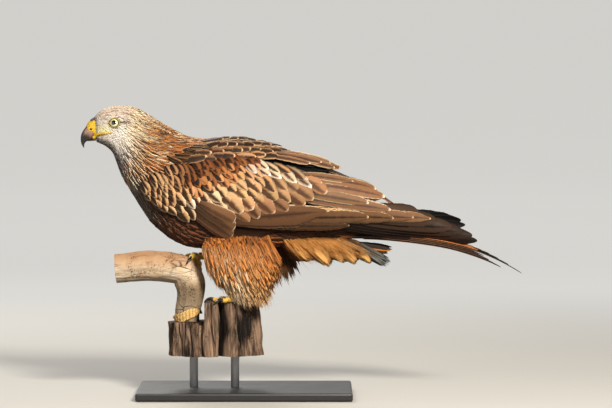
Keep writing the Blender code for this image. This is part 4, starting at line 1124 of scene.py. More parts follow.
@dataclass(frozen=True)
class Plumage:
    """The bird's colours by place, for the feathers and for the skin under them."""

    eye: tuple[float, float] = (-183.7 * MM, 382.8 * MM)

    @staticmethod
    def off_top(turn: Array) -> Array:
        """Degrees from the back's middle line, on either side."""
        off = np.abs(np.degrees(turn)) % 360
        return np.where(off > 180, 360 - off, off)

    def head(self, place: Array, turn: Array, points: Array, rng: np.random.Generator) -> Paint:
        """Head and neck: pale with fine wavy streaks, turning orange-rufous with cream edges on the neck.

        The streaks are a sum of waves, many round the head and few along it, so they run with the feathers.
        """
        off_top = self.off_top(turn)
        count = len(place)
        chance = rng.random(count)
        lines = ripples(turn, place, 71, ((26, 1.7, 0.5), (33, -2.6, 0.5), (41, 3.3, 0.45), (19, 1.1, 0.3),
                                          (52, -4.2, 0.3)))
        tint = ripples(turn, place, 72, ((9, 0.9, 0.5), (14, -1.6, 0.5), (22, 2.2, 0.45), (31, -1.2, 0.4)))
        side = ease(off_top, 58, 80) * ease(off_top, 152, 132)
        ground = blend(srgb(240, 218, 196), srgb(250, 238, 224), ease(off_top, 30, 75))
        ground = blend(ground, srgb(198, 180, 170), 0.7 * ease(place, 1.8, 0.4) * ease(off_top, 75, 35))
        x, z = points[..., 0] / MM, points[..., 2] / MM
        ground = blend(ground, srgb(228, 216, 206), 0.8 * ease(place, 2.1, 1.0) * side)
        ground = blend(ground, srgb(255, 242, 188), side * ease(z, 365.5, 367.5) * ease(z, 381, 375) * ease(x, -188, -197))
        # Painted shade: the pale throat is darkened to grey, and to grey-brown under the chin.
        ground = blend(ground, srgb(158, 150, 144), ease(off_top, 120, 142) * ease(place, 6.4, 4.8))
        ground = blend(ground, srgb(96, 86, 78), 0.5 * ease(off_top, 124, 146) * ease(place, 3.0, 4.6))
        ground = blend(ground, srgb(246, 222, 184), ease(place, 3.4, 4.6) * ease(off_top, 130, 60))
        clean = ease(off_top, 50, 74) * ease(place, 4.9, 4.1) * ease(off_top, 146, 126)
        reach = place + rng.normal(0, 0.18, count)
        warm = ease(reach, 4.6 + 0.3 * ease(off_top, 40, 10), 5.7)
        streak = ease(lines, 0.25, 0.8) * (1 - clean) * (1 - warm) * ease(place, 0.2, 1.2)
        dim = blend(srgb(158, 122, 94), srgb(104, 70, 46), ease(place, 3.2, 5.0))
        ground = blend(ground, dim, (0.62 + 0.3 * ease(place, 3.0, 4.8)) * streak)
        orange = blend(srgb(226, 156, 88), srgb(206, 126, 62), ease(place, 5.0, 7.5))
        cream = srgb(252, 222, 176)
        # Painted shade: the orange on the front of the neck turns dark brown.
        throat_shade = ease(off_top, 104, 132) * ease(place, 4.8, 6.4)
        orange = blend(orange, srgb(88, 60, 42), throat_shade)
        fewer = 0.5 * ease(place, 6.0, 8.0) + 1.3 * ease(off_top, 96, 125) * ease(place, 5.2, 6.6)
        pale = ease(tint + (chance - 0.5) * 0.9, 0.1 + fewer, 0.55 + fewer)
        mixed = blend(orange, np.broadcast_to(cream, (count, 3)), pale)
        ground = blend(ground, mixed, warm)
        ground = blend(ground, srgb(176, 98, 46), 0.7 * ease(place, 8.2, 9.4) * ease(off_top, 60, 110))
        grey = ease(lines, -0.4, 0.3) * ease(off_top, 90, 114) * ease(place, 3.2, 4.6) * ease(place, 7.5, 6.0)
        ground = blend(ground, srgb(96, 84, 74), 0.75 * grey)
        neck = ease(place, 4.4, 5.6)
        chin = np.where(rng.random(count) < 0.5, 0.5, 0.06) * ease(off_top, 112, 140)
        width = (0.05 + chin) * (1 - neck) + (0.2 + 0.3 * rng.random(count)) * neck
        dark = blend(srgb(128, 94, 70), srgb(46, 29, 20), ease(place, 3.8, 5.2))
        dark = blend(dark, srgb(150, 92, 50), 0.55 * pale * warm)
        dark = blend(dark, srgb(58, 50, 48), ease(off_top, 118, 136))
        offset = np.stack([points[..., 0] - self.eye[0], points[..., 2] - self.eye[1]], axis=-1) / MM
        side_on = ease(off_top, 30, 44) * ease(off_top, 135, 118)
        shadow = 0.0
        for x, z, size, amount in ((9.4, 0.6, 2.2, 1.1), (13.4, 2.0, 2.6, 1.2), (18.0, 3.4, 2.2, 0.7),
                                   (-15.6, 4.6, 3.4, 0.5), (-9.4, 2.4, 2.2, 0.4), (-8.6, -0.8, 1.5, 0.5)):
            shadow = shadow + amount * np.exp(-(((offset[..., 0] - x) / size) ** 2) - ((offset[..., 1] - z) / 1.5) ** 2)
        ground = blend(ground, srgb(100, 78, 54), np.clip(shadow * side_on, 0, 0.9))
        rim = blend(ground, srgb(255, 238, 204), 0.8 * neck * (1 - 0.5 * ease(off_top, 96, 120) * ease(place, 6.0, 7.5)))
        return Paint(ground, dark, rim, width, 1.06 + 0.06 * (1 - neck), 0.02 + 0.24 * neck)

    def body(self, place: Array, turn: Array, points: Array) -> Paint:
        """Breast, belly and flanks: rufous with dark streaks, more orange towards the vent, the breast and the flank
        under the wing darkened as painted shade. The rump is scaled.
        """
        off_top = self.off_top(turn)
        # Painted shade: the breast's rufous is darkened to near black-brown.
        ground = blend(srgb(70, 45, 32), srgb(98, 56, 32), ease(place, 8.3, 10.0))
        ground = blend(ground, srgb(168, 98, 46), ease(place, 10.4, 12.8))
        ground = blend(ground, srgb(206, 138, 66), ease(place, 12.6, 14.5) * ease(off_top, 90, 120))
        rump = ease(place, 11.8, 12.6) * ease(off_top, 95, 65)
        ground = blend(ground, srgb(158, 100, 60), rump)
        dark = np.broadcast_to(srgb(40, 26, 20), ground.shape)
        x, z = points[:, 0] / MM, points[:, 2] / MM
        # Painted shade on the flank just under the folded wing.
        ground = blend(ground, srgb(54, 35, 24), 0.92 * ease(z, 212, 221) * ease(x, 0, 40) * ease(off_top, 25, 45))
        width = 0.38 - 0.2 * ease(place, 10.5, 13.0) + 0.34 * rump
        upper = ease(place, 10.4, 8.6)
        rim = blend(ground, srgb(226, 174, 116), np.clip(0.12 * ease(z, 222, 212) + 0.25 * upper + 0.6 * rump, 0, 0.8))
        return Paint(ground, dark, rim, width, 0.96, 0.1)

    def mantle(self, place: Array, turn: Array, points: Array) -> Paint:
        """Back and shoulders: near-black brown centres with buff rims, streakier near the neck."""
        ground = blend(srgb(132, 84, 50), srgb(128, 90, 62), ease(place, 7.6, 9.4))
        ground = blend(ground, srgb(160, 118, 82), ease(place, 12.0, 13.5))
        dark = np.broadcast_to(srgb(42, 29, 22), ground.shape)
        rim = blend(srgb(236, 186, 120), srgb(232, 190, 142), ease(place, 8.0, 10.5))
        width = 0.56 + 0.2 * ease(place, 7.8, 9.2) - 0.2 * ease(place, 12.2, 13.6)
        return Paint(ground, dark, rim, width, 1.35, 0.24)

    def coverts(self, points: Array, row: float, rng: np.random.Generator) -> Paint:
        """Wing coverts: orange with black-brown centres near the shoulder, pale buff further down, worn behind."""
        x, z = points[..., 0] / MM, points[..., 2] / MM
        count = len(x)
        depth = x * 0.30 + (322 - z) * 0.95 + rng.normal(0, 6, count)
        low = ease(depth, 0, 34)
        front = ease(x, -70, -112)
        chance = rng.random(count)
        # The top rows start from a darker orange-brown: their own orange darkened by painted shade under the scapulars.
        ground = blend(srgb(126, 72, 36), srgb(206, 136, 78), ease(depth, 0, 18))
        ground = blend(ground, blend(srgb(212, 164, 114), srgb(250, 224, 184), chance**1.5 * ease(x, 25, -35)), ease(depth, 10, 38))
        ground = blend(ground, srgb(238, 190, 138), 0.7 * front)
        ground = blend(ground, srgb(162, 118, 80), 0.85 * ease(x, 35, 95) * low)
        ground = blend(ground, srgb(166, 122, 84), ease(np.full(count, row), 1.5, 0.0))
        line = 318 - 0.383 * (x - 35)
        worn = np.exp(-(((z - line + 3) / 7) ** 4)) * ease(x, 22, 34) * ease(x, 114, 106) * (0.5 + 0.5 * rng.random(count))
        for centre_x, centre_z, wide, high in ((19, 313, 7, 7), (-70, 262, 9, 6)):
            near = 0.8 * np.exp(-(((x - centre_x) / wide) ** 4) - ((z - centre_z) / high) ** 4)
            worn = np.maximum(worn, near)
        ground = blend(ground, srgb(255, 240, 218), 0.45 * worn)
        dark = blend(srgb(44, 28, 19), srgb(92, 62, 42), ease(depth, 12, 66))
        rim = blend(srgb(160, 98, 52), srgb(252, 224, 182), low)
        rim = blend(rim, srgb(226, 184, 136), 0.7 * ease(x, -20, 60))
        rim = blend(rim, srgb(255, 246, 232), worn)
        below = np.interp(x, (-129, -100, -73, -31, 10, 49), (321, 327, 330, 333, 333, 331)) - z
        shade = ease(below, 9, 4) * (0.3 + 0.6 * ease(x, -50, -85)) * ease(x, 60, 30)
        ground, rim = blend(ground, srgb(46, 31, 23), shade), blend(rim, srgb(84, 56, 38), shade)
        corner = ease(x, -30, -60) * ease(z, 292, 276)
        dark = blend(dark, srgb(62, 42, 28), 0.8 * corner)
        width = (0.62 - 0.12 * low - 0.22 * front + 0.34 * corner) * (1 + rng.normal(0, 0.24, count)) * (1 - 0.5 * worn)
        reach = 0.88 + 0.14 * low + rng.normal(0, 0.03, count)
        return Paint(ground, dark, rim, np.clip(width, 0.05, 0.8), reach, 0.12 + 0.22 * worn)

    def skin(self, points: Array) -> Array:
        """The colour under the feathers at any place on the bird, with dark bands painted as shade under the mantle's
        edge and under the folded wing.
        """
        x, y, z = points[:, 0] / MM, np.abs(points[:, 1]) / MM, points[:, 2] / MM
        colour = np.broadcast_to(srgb(150, 88, 50), points.shape).copy()
        colour = blend(colour, srgb(214, 186, 158), ease(x - 0.7 * (z - 380), -140, -160))
        # Painted shade: near-black bands under the mantle's lower edge.
        colour = blend(colour, srgb(40, 27, 20), ease(z, 300, 318) * ease(x, -95, -75))
        colour = blend(colour, srgb(10, 7, 5), ease(z, 300, 312) * ease(x, 8, 24))
        colour = blend(colour, srgb(96, 62, 42), ease(y, 34, 44) * ease(z, 226, 240) * ease(x, -110, -90) * ease(z, 312, 300))
        # Painted shade on the body's side under the folded wing.
        colour = blend(colour, srgb(66, 44, 32), ease(y, 20, 34) * ease(z, 214, 224) * ease(x, -30, -10) * ease(z, 300, 290))
        colour = blend(colour, srgb(176, 108, 54), ease(z, 214, 200))
        return blend(colour, srgb(44, 30, 23), ease(x, 130, 160) * ease(z, 200, 214))


@dataclass
class Skin:
    """One closed skin under the whole plumage: body, wing arms, thighs and tail root as a single surface."""

    voxel: float = 2.6 * MM
    head_inset: float = 1.6 * MM
    body_inset: float = 4.0 * MM
    wing_inset: float = 4.2 * MM

    @staticmethod
    def loft(rings: Array) -> tuple[Array, list[tuple[int, ...]]]:
        """Points and faces of a closed loft with flat ends."""
        count, sides = rings.shape[:2]
        ring, side = np.meshgrid(np.arange(count - 1), np.arange(sides), indexing="ij")
        near, far = ring * sides + side, ring * sides + (side + 1) % sides
        faces = [tuple(f) for f in np.stack([near, far, far + sides, near + sides], axis=-1).reshape(-1, 4).tolist()]
        faces.append(tuple(range(sides))[::-1])
        faces.append(tuple(range((count - 1) * sides, count * sides)))
        return rings.reshape(-1, 3), faces

    def body_rings(self) -> Array:
        """Sections of the body, sunk by the depth of its plumage."""
        place, turn = np.meshgrid(np.linspace(0.02, 15.2, 110), np.linspace(0, 2 * np.pi, 72, endpoint=False),
                                  indexing="ij")
        inset = self.head_inset + (self.body_inset - self.head_inset) * ease(place, 3.8, 7.5)
        return BodyChart().point(place, turn, -inset)

    def arm_rings(self, side: int) -> Array:
        """Sections of a wing's arm: outer side sunk under the coverts, inner side against the body."""
        chart = WingChart(side)
        x = np.linspace(-146, 120, 60)[:, None] * MM
        share = np.sin(np.linspace(-np.pi / 2, np.pi / 2, 25))[None, :]
        row = chart.row(x)
        z = row[..., 0] + (row[..., 1] - 2.5 * MM) * share
        depth = 4 * MM + 11 * MM * (1 - share**2)
        x = np.broadcast_to(x, z.shape)
        outer = chart.point(x, z, -self.wing_inset)
        inner = chart.point(x, z, -self.wing_inset - depth)[:, ::-1]
        return np.concatenate([outer, inner], axis=1)

    def thigh_rings(self, side: int) -> Array:
        """Sections of a thigh."""
        place = np.linspace(0, 4.8, 24)
        rows = through(THIGH_STATIONS[side], place)[:, None, :]
        turn = np.linspace(0, 2 * np.pi, 40, endpoint=False)[None, :]
        inset = 4.5 * MM
        x = rows[..., 0] + np.maximum(rows[..., 3] - inset, 2 * MM) * np.cos(turn)
        y = side * rows[..., 1] + np.maximum(rows[..., 4] - inset, 2 * MM) * np.sin(turn)
        return np.stack([x, y, np.broadcast_to(rows[..., 2], x.shape)], axis=-1)

    def tail_rings(self) -> Array:
        """Sections of the tail's root."""
        chart = TailChart()
        share = np.linspace(0, 1, 20)[:, None]
        x = (120 + 112 * share) * MM
        across = np.linspace(-1, 1, 17)[None, :] * (12 + 8 * share) * MM
        x = np.broadcast_to(x, across.shape)
        return np.concatenate([chart.point(x, across, -2.4 * MM), chart.point(x, across, -8.6 * MM)[:, ::-1]], axis=1)

    def build(self, finish: SkinFinish, colours: Plumage) -> bpy.types.Object:
        """Joins the forms, merges them into one surface with a voxel remesh and colours its points."""
        forms = [self.body_rings(), self.tail_rings()]
        for side in (LEFT, RIGHT):
            forms += [self.arm_rings(side), self.thigh_rings(side)]
        points, faces, start = [], [], 0
        for rings in forms:
            some, their = self.loft(rings)
            points.append(some)
            faces += [tuple(i + start for i in face) for face in their]
            start += len(some)
        mesh = bpy.data.meshes.new("skin")
        mesh.from_pydata(np.concatenate(points).tolist(), [], faces)
        shape = bmesh.new()
        shape.from_mesh(mesh)
        bmesh.ops.recalc_face_normals(shape, faces=shape.faces)
        shape.to_mesh(mesh)
        shape.free()
        piece = bpy.data.objects.new("skin", mesh)
        bpy.context.scene.collection.objects.link(piece)
        step = piece.modifiers.new("Merge", "REMESH")
        step.mode = "VOXEL"
        step.voxel_size = self.voxel
        soften = piece.modifiers.new("Soften", "SMOOTH")
        soften.factor = 0.5
        soften.iterations = 4
        bpy.context.view_layer.update()
        merged = bpy.data.meshes.new_from_object(piece.evaluated_get(bpy.context.evaluated_depsgraph_get()))
        piece.modifiers.clear()
        piece.data = merged
        merged.shade_smooth()
        places = np.empty(len(merged.vertices) * 3, np.float32)
        merged.vertices.foreach_get("co", places)
        colour = colours.skin(places.reshape(-1, 3).astype(float))
        layer = merged.attributes.new("Ground", "FLOAT_COLOR", "POINT")
        layer.data.foreach_set("color", np.column_stack([colour, np.ones(len(colour))]).astype(np.float32).ravel())
        merged.materials.clear()
        merged.materials.append(finish.make())
        log.info("skin: %d faces", len(merged.polygons))
        return piece


class QuillRow(NamedTuple):
    """One long feather of the wing: root and tip as x and z, its width and its lift, in millimetres."""

    root: tuple[float, float]
    tip: tuple[float, float]
    width: float
    lift: float
    bow: float = 0.0


@dataclass
class WingFeathers:
    """A folded wing's plumage: quills, then greater, median and lesser coverts over them."""

    side: int
    primaries: tuple[QuillRow, ...] = (
        QuillRow((92, 246), (325, 217.5), 22, -7.0, -3),
        QuillRow((95, 249), (318, 225), 24, -6.2, -3),
        QuillRow((99, 252), (305, 231), 26, -5.4, -2),
        QuillRow((104, 256), (290, 237), 27, -4.6, -2),
        QuillRow((110, 260), (268, 246), 27, -3.8, -1),
        QuillRow((116, 264), (244, 256), 26, -3.0, 0),
    )
    far_primaries: tuple[QuillRow, ...] = (
        QuillRow((92, 236), (309, 221), 20, -7.0, -2),
        QuillRow((95, 238), (303, 228), 23, -6.2, -2),
        QuillRow((99, 240), (292, 233), 24, -5.4, -1),
        QuillRow((104, 242), (276, 237), 24, -4.6, 0),
        QuillRow((110, 244), (256, 239), 24, -3.8, 0),
        QuillRow((116, 246), (236, 241), 22, -3.0, 0),
    )
    secondaries: tuple[QuillRow, ...] = (
        QuillRow((54, 262), (260, 249), 22, -2.2),
        QuillRow((50, 262), (236, 251), 24, -1.5),
        QuillRow((40, 258), (208, 250), 25, -0.8),
        QuillRow((22, 252), (173, 252), 26, 0.0),
        QuillRow((4, 241), (146, 240), 20, -0.8),
        QuillRow((-18, 250), (118, 261), 42, 0.8),
    )
    tertials: tuple[QuillRow, ...] = (
        QuillRow((54, 282), (204, 262), 22, 0.0, 1),
        QuillRow((58, 290), (173, 271.5), 21, 0.7, 1),
        QuillRow((60, 300), (196, 280), 24, 1.4, 4),
        QuillRow((62, 307), (184, 291), 21, 2.0, 5),
        QuillRow((66, 312), (152, 301), 16, 2.5, 2),
    )
    primary_coverts: tuple[QuillRow, ...] = (
        QuillRow((-74, 262), (-17, 225), 24, 0.4),
        QuillRow((-68, 268), (-13.5, 236), 24, 1.2),
        QuillRow((-62, 273), (-12.6, 248), 22, 2.0),
    )
    tip_line: tuple[tuple[float, float], ...] = (
        (-74, 200), (-32, 218), (-12.6, 231), (7, 245), (25, 253), (46, 259), (73, 263), (94, 276), (115, 286),
        (126, 297),
    )
    # Row after row from the greater coverts to the leading edge: how far the tips lie from the first
    # row's, the distance between neighbours, the length and the width.
    rows: tuple[tuple[float, float, float, float], ...] = (
        (0, 19, 56, 27), (16, 17, 44, 24), (31, 15, 36, 20.5), (45, 13.4, 31, 18), (57, 12, 27, 16),
        (67.5, 11, 24.5, 14.6), (76.5, 10.2, 22.5, 13.4), (84.5, 9.5, 21, 12.4), (91.5, 9, 20, 11.6),
        (98, 8.6, 19, 11), (104, 8.3, 18.4, 10.5), (110, 8, 18, 10), (116, 7.7, 17.4, 9.6), (122, 7.4, 17, 9.2),
        (128, 7.2, 16.5, 8.8), (134, 7, 16, 8.6), (140, 7, 16, 8.4), (146, 7, 16, 8.4),
    )
    headings: tuple[tuple[float, float], ...] = ((-147, -62), (-90, -54), (7, -42), (105, -27), (150, -20))

    def quills(self, chart: WingChart, rows: Sequence[QuillRow], coat: Coat, form: Form, paint: Paint,
               camber: float = 0.06, drop: float = 0.0, sink: float = 0.0) -> None:
        """Lays long feathers given one by one, all lowered by drop, their roots by sink more."""
        table = np.array([(*q.root, *q.tip, q.width, q.lift, q.bow) for q in rows]) * MM
        table[:, (1, 3)] -= drop
        lift = np.stack([table[:, 5] - sink, table[:, 5] + 0.4 * MM], axis=-1)
        plumes = between(chart, table[:, 0:2], table[:, 2:4], table[:, 4], lift,
                         camber=camber, bow=table[:, 6] * chart.hand, roll=0.5 * MM * chart.hand)
        coat.lay(chart, plumes, form, paint)

    def build_quills(self, finish: bpy.types.Material) -> bpy.types.Object:
        """The primaries, secondaries and tertials. The far wing's lie lower, so that its tip is all that shows, and its
        primaries are painted near black as shade.
        """
        chart = WingChart(self.side)
        coat = Coat(f"wing_quills_{SIDE_NAMES[self.side]}", finish, 31 + self.side)
        near = self.side == LEFT
        primaries = self.primaries if near else self.far_primaries
        drop = 0.0 if near else 10 * MM
        tones = np.linspace(0, 1, len(primaries))
        # Painted shade: the far wing's primaries are a near-black copy of the near wing's brown.
        ground = blend(srgb(36, 26, 22), srgb(76, 54, 40), tones) if near else srgb(15, 12, 11)
        rim = srgb(76, 54, 42) if near else srgb(22, 17, 15)
        self.quills(chart, primaries, coat, PRIMARY, Paint(ground, srgb(22, 16, 14), rim, 0.3, 1.0, 0.03, 0.04))
        tones = np.linspace(0, 1, len(self.secondaries))
        self.quills(chart, self.secondaries[:-1], coat, QUILL, Paint(
            blend(srgb(124, 88, 60), srgb(104, 72, 50), tones[:-1]), srgb(60, 41, 30),
            blend(srgb(236, 196, 148), srgb(220, 176, 128), tones[:-1]), 0.18, 1.05, 0.13, 0.05), drop=drop)
        self.quills(chart, self.secondaries[-1:], coat, SLANT, Paint(
            srgb(116, 80, 53), srgb(80, 55, 39), srgb(248, 216, 172), 0.24, 0.9, 0.11, 0.05), drop=drop)
        tones = np.linspace(0, 1, len(self.tertials))
        self.quills(chart, self.tertials, coat, QUILL, Paint(
            blend(srgb(136, 98, 68), srgb(146, 106, 72), tones), srgb(98, 72, 58),
            blend(srgb(255, 230, 192), srgb(250, 218, 178), tones), 0.28, 0.98, 0.2, 0.1), drop=drop, sink=1.8 * MM)
        return coat.build()

    def covert_roots(self, chart: WingChart, number: int, rng: np.random.Generator) -> tuple[Array, Array]:
        """Roots and tips of one row of coverts."""
        offset, gap, length, _ = self.rows[number]
        line = MM * np.array(self.tip_line)
        sizes = np.concatenate([[0], np.cumsum(np.linalg.norm(np.diff(line, axis=0), axis=1))])
        count = int(sizes[-1] / (gap * MM))
        along = (np.arange(-18, count + 6) + 0.5 * (number % 2)) * gap * MM
        along = along + rng.normal(0, 0.13 * gap * MM, len(along))
        slope = np.array((math.cos(0.62), math.sin(0.62)))
        tips = np.stack([np.interp(along, sizes, line[:, k]) for k in (0, 1)], axis=-1)
        tips += slope * np.minimum(along, 0)[:, None] + slope * np.maximum(along - sizes[-1], 0)[:, None]
        across = offset + rng.normal(0, 0.14 * gap, len(along)) * (number > 0)
        tips += np.array((-0.53, 0.85)) * across[:, None] * MM
        table = np.array(self.headings)
        heading = np.radians(np.interp(tips[:, 0] / MM, table[:, 0], table[:, 1])) + rng.normal(0, 0.11, len(along))
        long = length * MM * (1 + rng.normal(0, 0.08, len(along)))
        roots = tips - long[:, None] * np.stack([np.cos(heading), np.sin(heading)], axis=-1)
        off = chart.off_middle(roots[:, 0], roots[:, 1])
        tip_off = chart.off_middle(tips[:, 0], tips[:, 1])
        good = (roots[:, 0] > -152 * MM) & (off < 1.1) & (off > -0.93) & (tip_off > -1.0) & (tips[:, 0] > -147 * MM)
        patch = (tips[:, 0] > -64 * MM) & (tips[:, 0] < -6 * MM) & (tips[:, 1] < 256 * MM)
        good &= ~patch & (roots[:, 1] < np.interp(roots[:, 0] / MM, (6, 32, 60, 88, 120), (345, 332, 322, 315, 309)) * MM)
        roof = np.interp(tips[:, 0] / MM, (6, 32, 60, 88, 120), (340, 328, 319, 312, 306)) * MM
        return roots[good & (tips[:, 1] < roof)], tips[good & (tips[:, 1] < roof)]

    def build_coverts(self, finish: bpy.types.Material, colours: Plumage) -> bpy.types.Object:
        """The covert rows, from the greater ones up to the small ones along the leading edge."""
        chart = WingChart(self.side)
        coat = Coat(f"wing_coverts_{SIDE_NAMES[self.side]}", finish, 41 + self.side)
        self.quills(chart, self.primary_coverts, coat, BLUNT, Paint(
            srgb(128, 90, 60), srgb(86, 60, 42), srgb(240, 212, 174), 0.4, 1.0, 0.08))
        for number, (_, _, length, width) in enumerate(self.rows):
            roots, tips = self.covert_roots(chart, number, coat.rng)
            count = len(roots)
            if not count:
                continue
            rise = 1.1 + 0.1 * min(number, 8)
            lift = np.tile((-1.4 * MM, rise * MM), (count, 1)) + coat.rng.normal(0, 0.25 * MM, (count, 2))
            widths = width * MM * (1 + coat.rng.normal(0, 0.09, count))
            plumes = between(chart, roots, tips, widths, lift, camber=0.13, roll=0.5 * MM * chart.hand,
                             curl=coat.rng.normal(0.2, 0.4, count) * MM)
            paint = colours.coverts(chart.point(tips[:, 0], tips[:, 1]), number, coat.rng)
            coat.lay(chart, plumes, GREAT_COVERT if number < 2 else COVERT, paint)
        return coat.build()


def hidden_by_wing(points: Array, side: Array) -> Array:
    """Whether places on the body lie under a folded wing, where no feather is needed."""
    chart = WingChart(LEFT)
    off = chart.off_middle(points[:, 0], points[:, 2])
    return (np.abs(off) < 0.8) & (points[:, 0] > -116 * MM) & (points[:, 0] < 130 * MM) & (
        np.abs(points[:, 1]) > 12 * MM)


@dataclass
class BodyFeathers:
    """The plumage of head, neck, breast, belly and back."""

    mantle_edge: tuple[tuple[float, float], ...] = (
        (-140, 314), (-129, 321), (-100, 327), (-73, 330), (-31, 333), (10, 333), (49, 331), (85, 325), (125, 316),
        (160, 306),
    )

    @staticmethod
    def on_mantle(points: Array, slack: Array | float = 0.0) -> Array:
        """Whether places lie behind the line where the dark back begins, which slants up from the shoulder."""
        return points[:, 2] + slack < 323 * MM + 0.5 * (points[:, 0] + 133 * MM)

    def edge(self, x: Array) -> Array:
        """How high the mantle's lower edge is at this x."""
        table = np.array(self.mantle_edge) * MM
        return np.interp(x, table[:, 0], table[:, 1])

    @staticmethod
    def on_body(x: Array, z: Array, side: int) -> Array:
        """The body chart's place and turn where it has this x and height on one side."""
        chart = BodyChart()
        place, turn = np.meshgrid(np.linspace(5, 15, 500), np.linspace(0.0, 1.6, 240), indexing="ij")
        points = chart.point(place, turn)
        found = [np.argmin((points[..., 0] - a) ** 2 + (points[..., 2] - b) ** 2) for a, b in zip(x, z, strict=True)]
        return np.stack([place.ravel()[found], side * turn.ravel()[found]], axis=-1)

    def forehead(self, coat: Coat, colours: Plumage) -> None:
        """Short feathers that reach forwards over the cere's top, and pale ones under it down to the gape."""
        chart = BillChart()
        roots = scatter(chart, (0.12, 1.5), (-np.pi, np.pi), lambda place, turn: np.full(place.shape, 1.05 * MM), coat.rng)
        off_top = colours.off_top(roots[:, 1])
        top = (off_top < 50) & (roots[:, 0] < 1.25 - 0.9 * ease(off_top, 30, 50))
        under = (off_top > 100) & (roots[:, 0] < 0.15 + 0.6 * ease(off_top, 100, 125)) & (off_top < 165)
        keep = top | under
        roots, off_top = roots[keep], off_top[keep]
        count = len(roots)
        ground = blend(srgb(240, 228, 208), srgb(110, 98, 98), ease(off_top, 90, 60))
        length = np.minimum(3.4 * MM, (0.4 + 5.6 * roots[:, 0]) * MM)
        lift = np.stack([np.full(count, -0.5 * MM), np.full(count, 0.7 * MM)], axis=-1)
        angle = np.pi + coat.rng.normal(0, 0.1, count)
        plumes = on_chart(chart, roots, angle, length, np.full(count, 1.5 * MM), lift, camber=0.2)
        coat.lay(chart, plumes, SCALE, Paint(ground, srgb(70, 60, 60), ground, 0.1, 0.9, 0.02))

    def build_head(self, finish: bpy.types.Material, colours: Plumage) -> bpy.types.Object:
        """Head and neck in one piece: thousands of narrow feathers, smallest at the bill."""
        chart = BodyChart()
        coat = Coat("head_coat", finish, 11)
        rng = coat.rng

        def spacing(place: Array, turn: Array) -> Array:
            return MM * (1.2 + 0.4 * ease(place, 1.0, 3.0) + 1.3 * ease(place, 3.6, 5.4) + 1.7 * ease(place, 5.0, 7.5))

        roots = scatter(chart, (0.02, 9.6), (-np.pi, np.pi), spacing, rng)
        points = chart.point(roots[:, 0], roots[:, 1])
        off_top = colours.off_top(roots[:, 1])
        eyes = [[np.array(v) for v in Eye(side).seat()] for side in (LEFT, RIGHT)]
        clear = (roots[:, 0] < 8.3) | (off_top < 75)
        clear &= ~(self.on_mantle(points, rng.normal(0, 2.5 * MM, len(points))) & (off_top < 80) & (roots[:, 0] > 5.6))
        for centre, outward in eyes:
            from_eye = points - centre
            beside = from_eye - np.outer(from_eye @ outward, outward)
            clear &= (np.linalg.norm(beside, axis=1) > 7.3 * MM) | (from_eye @ outward < 0)
        clear &= ~hidden_by_wing(points, roots[:, 1])
        roots, points = roots[clear], points[clear]
        gap = spacing(roots[:, 0], roots[:, 1])
        count = len(roots)
        neck = ease(roots[:, 0], 3.4, 5.4)
        length = gap * (3.8 + 2.2 * neck) * (1 + rng.normal(0, 0.12, count))
        width = gap * (1.2 - 0.16 * neck) * (1 + rng.normal(0, 0.1, count))
        angle = rng.normal(0, 0.1, count) + rng.normal(0, 0.07, count) * neck
        off_top = colours.off_top(roots[:, 1])
        level = 0.42 * ease(roots[:, 0], 4.2, 6.2) * ease(off_top, 12, 40) * ease(off_top, 120, 80)
        angle = angle - np.sign(roots[:, 1]) * level
        for centre, outward in eyes:
            offset = points - centre
            beside = offset - np.outer(offset @ outward, outward)
            near = np.exp(-(np.linalg.norm(beside, axis=1) / (11.5 * MM)) ** 4) * (offset @ outward > 0)
            # Feathers in front of the eye are too short to reach its middle, and part above and below it.
            ahead = near * (offset[:, 0] < 2 * MM)
            length = length * (1 - 0.5 * near)
            angle = angle + ahead * 0.7 * np.clip(offset[:, 2] / (6 * MM), -1, 1) * -np.sign(offset[:, 1])
        rise = 0.35 + 1.1 * ease(roots[:, 0], 3.4, 6.5)
        lift = np.stack([-0.9 * rise * MM, rise * MM + rng.normal(0, 0.3 * rise * MM)], axis=-1)
        plumes = on_chart(chart, roots, angle, length, width, lift, camber=0.2)
        coat.lay(chart, plumes, SCALE, colours.head(roots[:, 0], roots[:, 1], points, rng))
        self.forehead(coat, colours)
        return coat.build()

    def build_body(self, finish: bpy.types.Material, colours: Plumage) -> bpy.types.Object:
        """Breast, belly, flanks and rump."""
        chart = BodyChart()
        coat = Coat("body_coat", finish, 12)

        def spacing(place: Array, turn: Array) -> Array:
            return MM * (4.0 + 1.6 * ease(place, 8.2, 11.0))

        roots = scatter(chart, (8.2, 15.4), (-np.pi, np.pi), spacing, coat.rng)
        points = chart.point(roots[:, 0], roots[:, 1])
        off_top = np.abs(roots[:, 1])
        keep = ~hidden_by_wing(points, roots[:, 1]) & ((off_top > np.radians(52)) | (roots[:, 0] > 12.6))
        roots, points = roots[keep], points[keep]
        count = len(roots)
        gap = spacing(roots[:, 0], roots[:, 1])
        length = gap * 4.6 * (1 + coat.rng.normal(0, 0.09, count))
        lift = np.stack([np.full(count, -1.6 * MM), 1.1 * MM + coat.rng.normal(0, 0.4 * MM, count)], axis=-1)
        plumes = on_chart(chart, roots, coat.rng.normal(0, 0.13, count), length, gap * 1.45, lift, camber=0.22)
        coat.lay(chart, plumes, BODY_PLUME, colours.body(roots[:, 0], roots[:, 1], points))
        return coat.build()

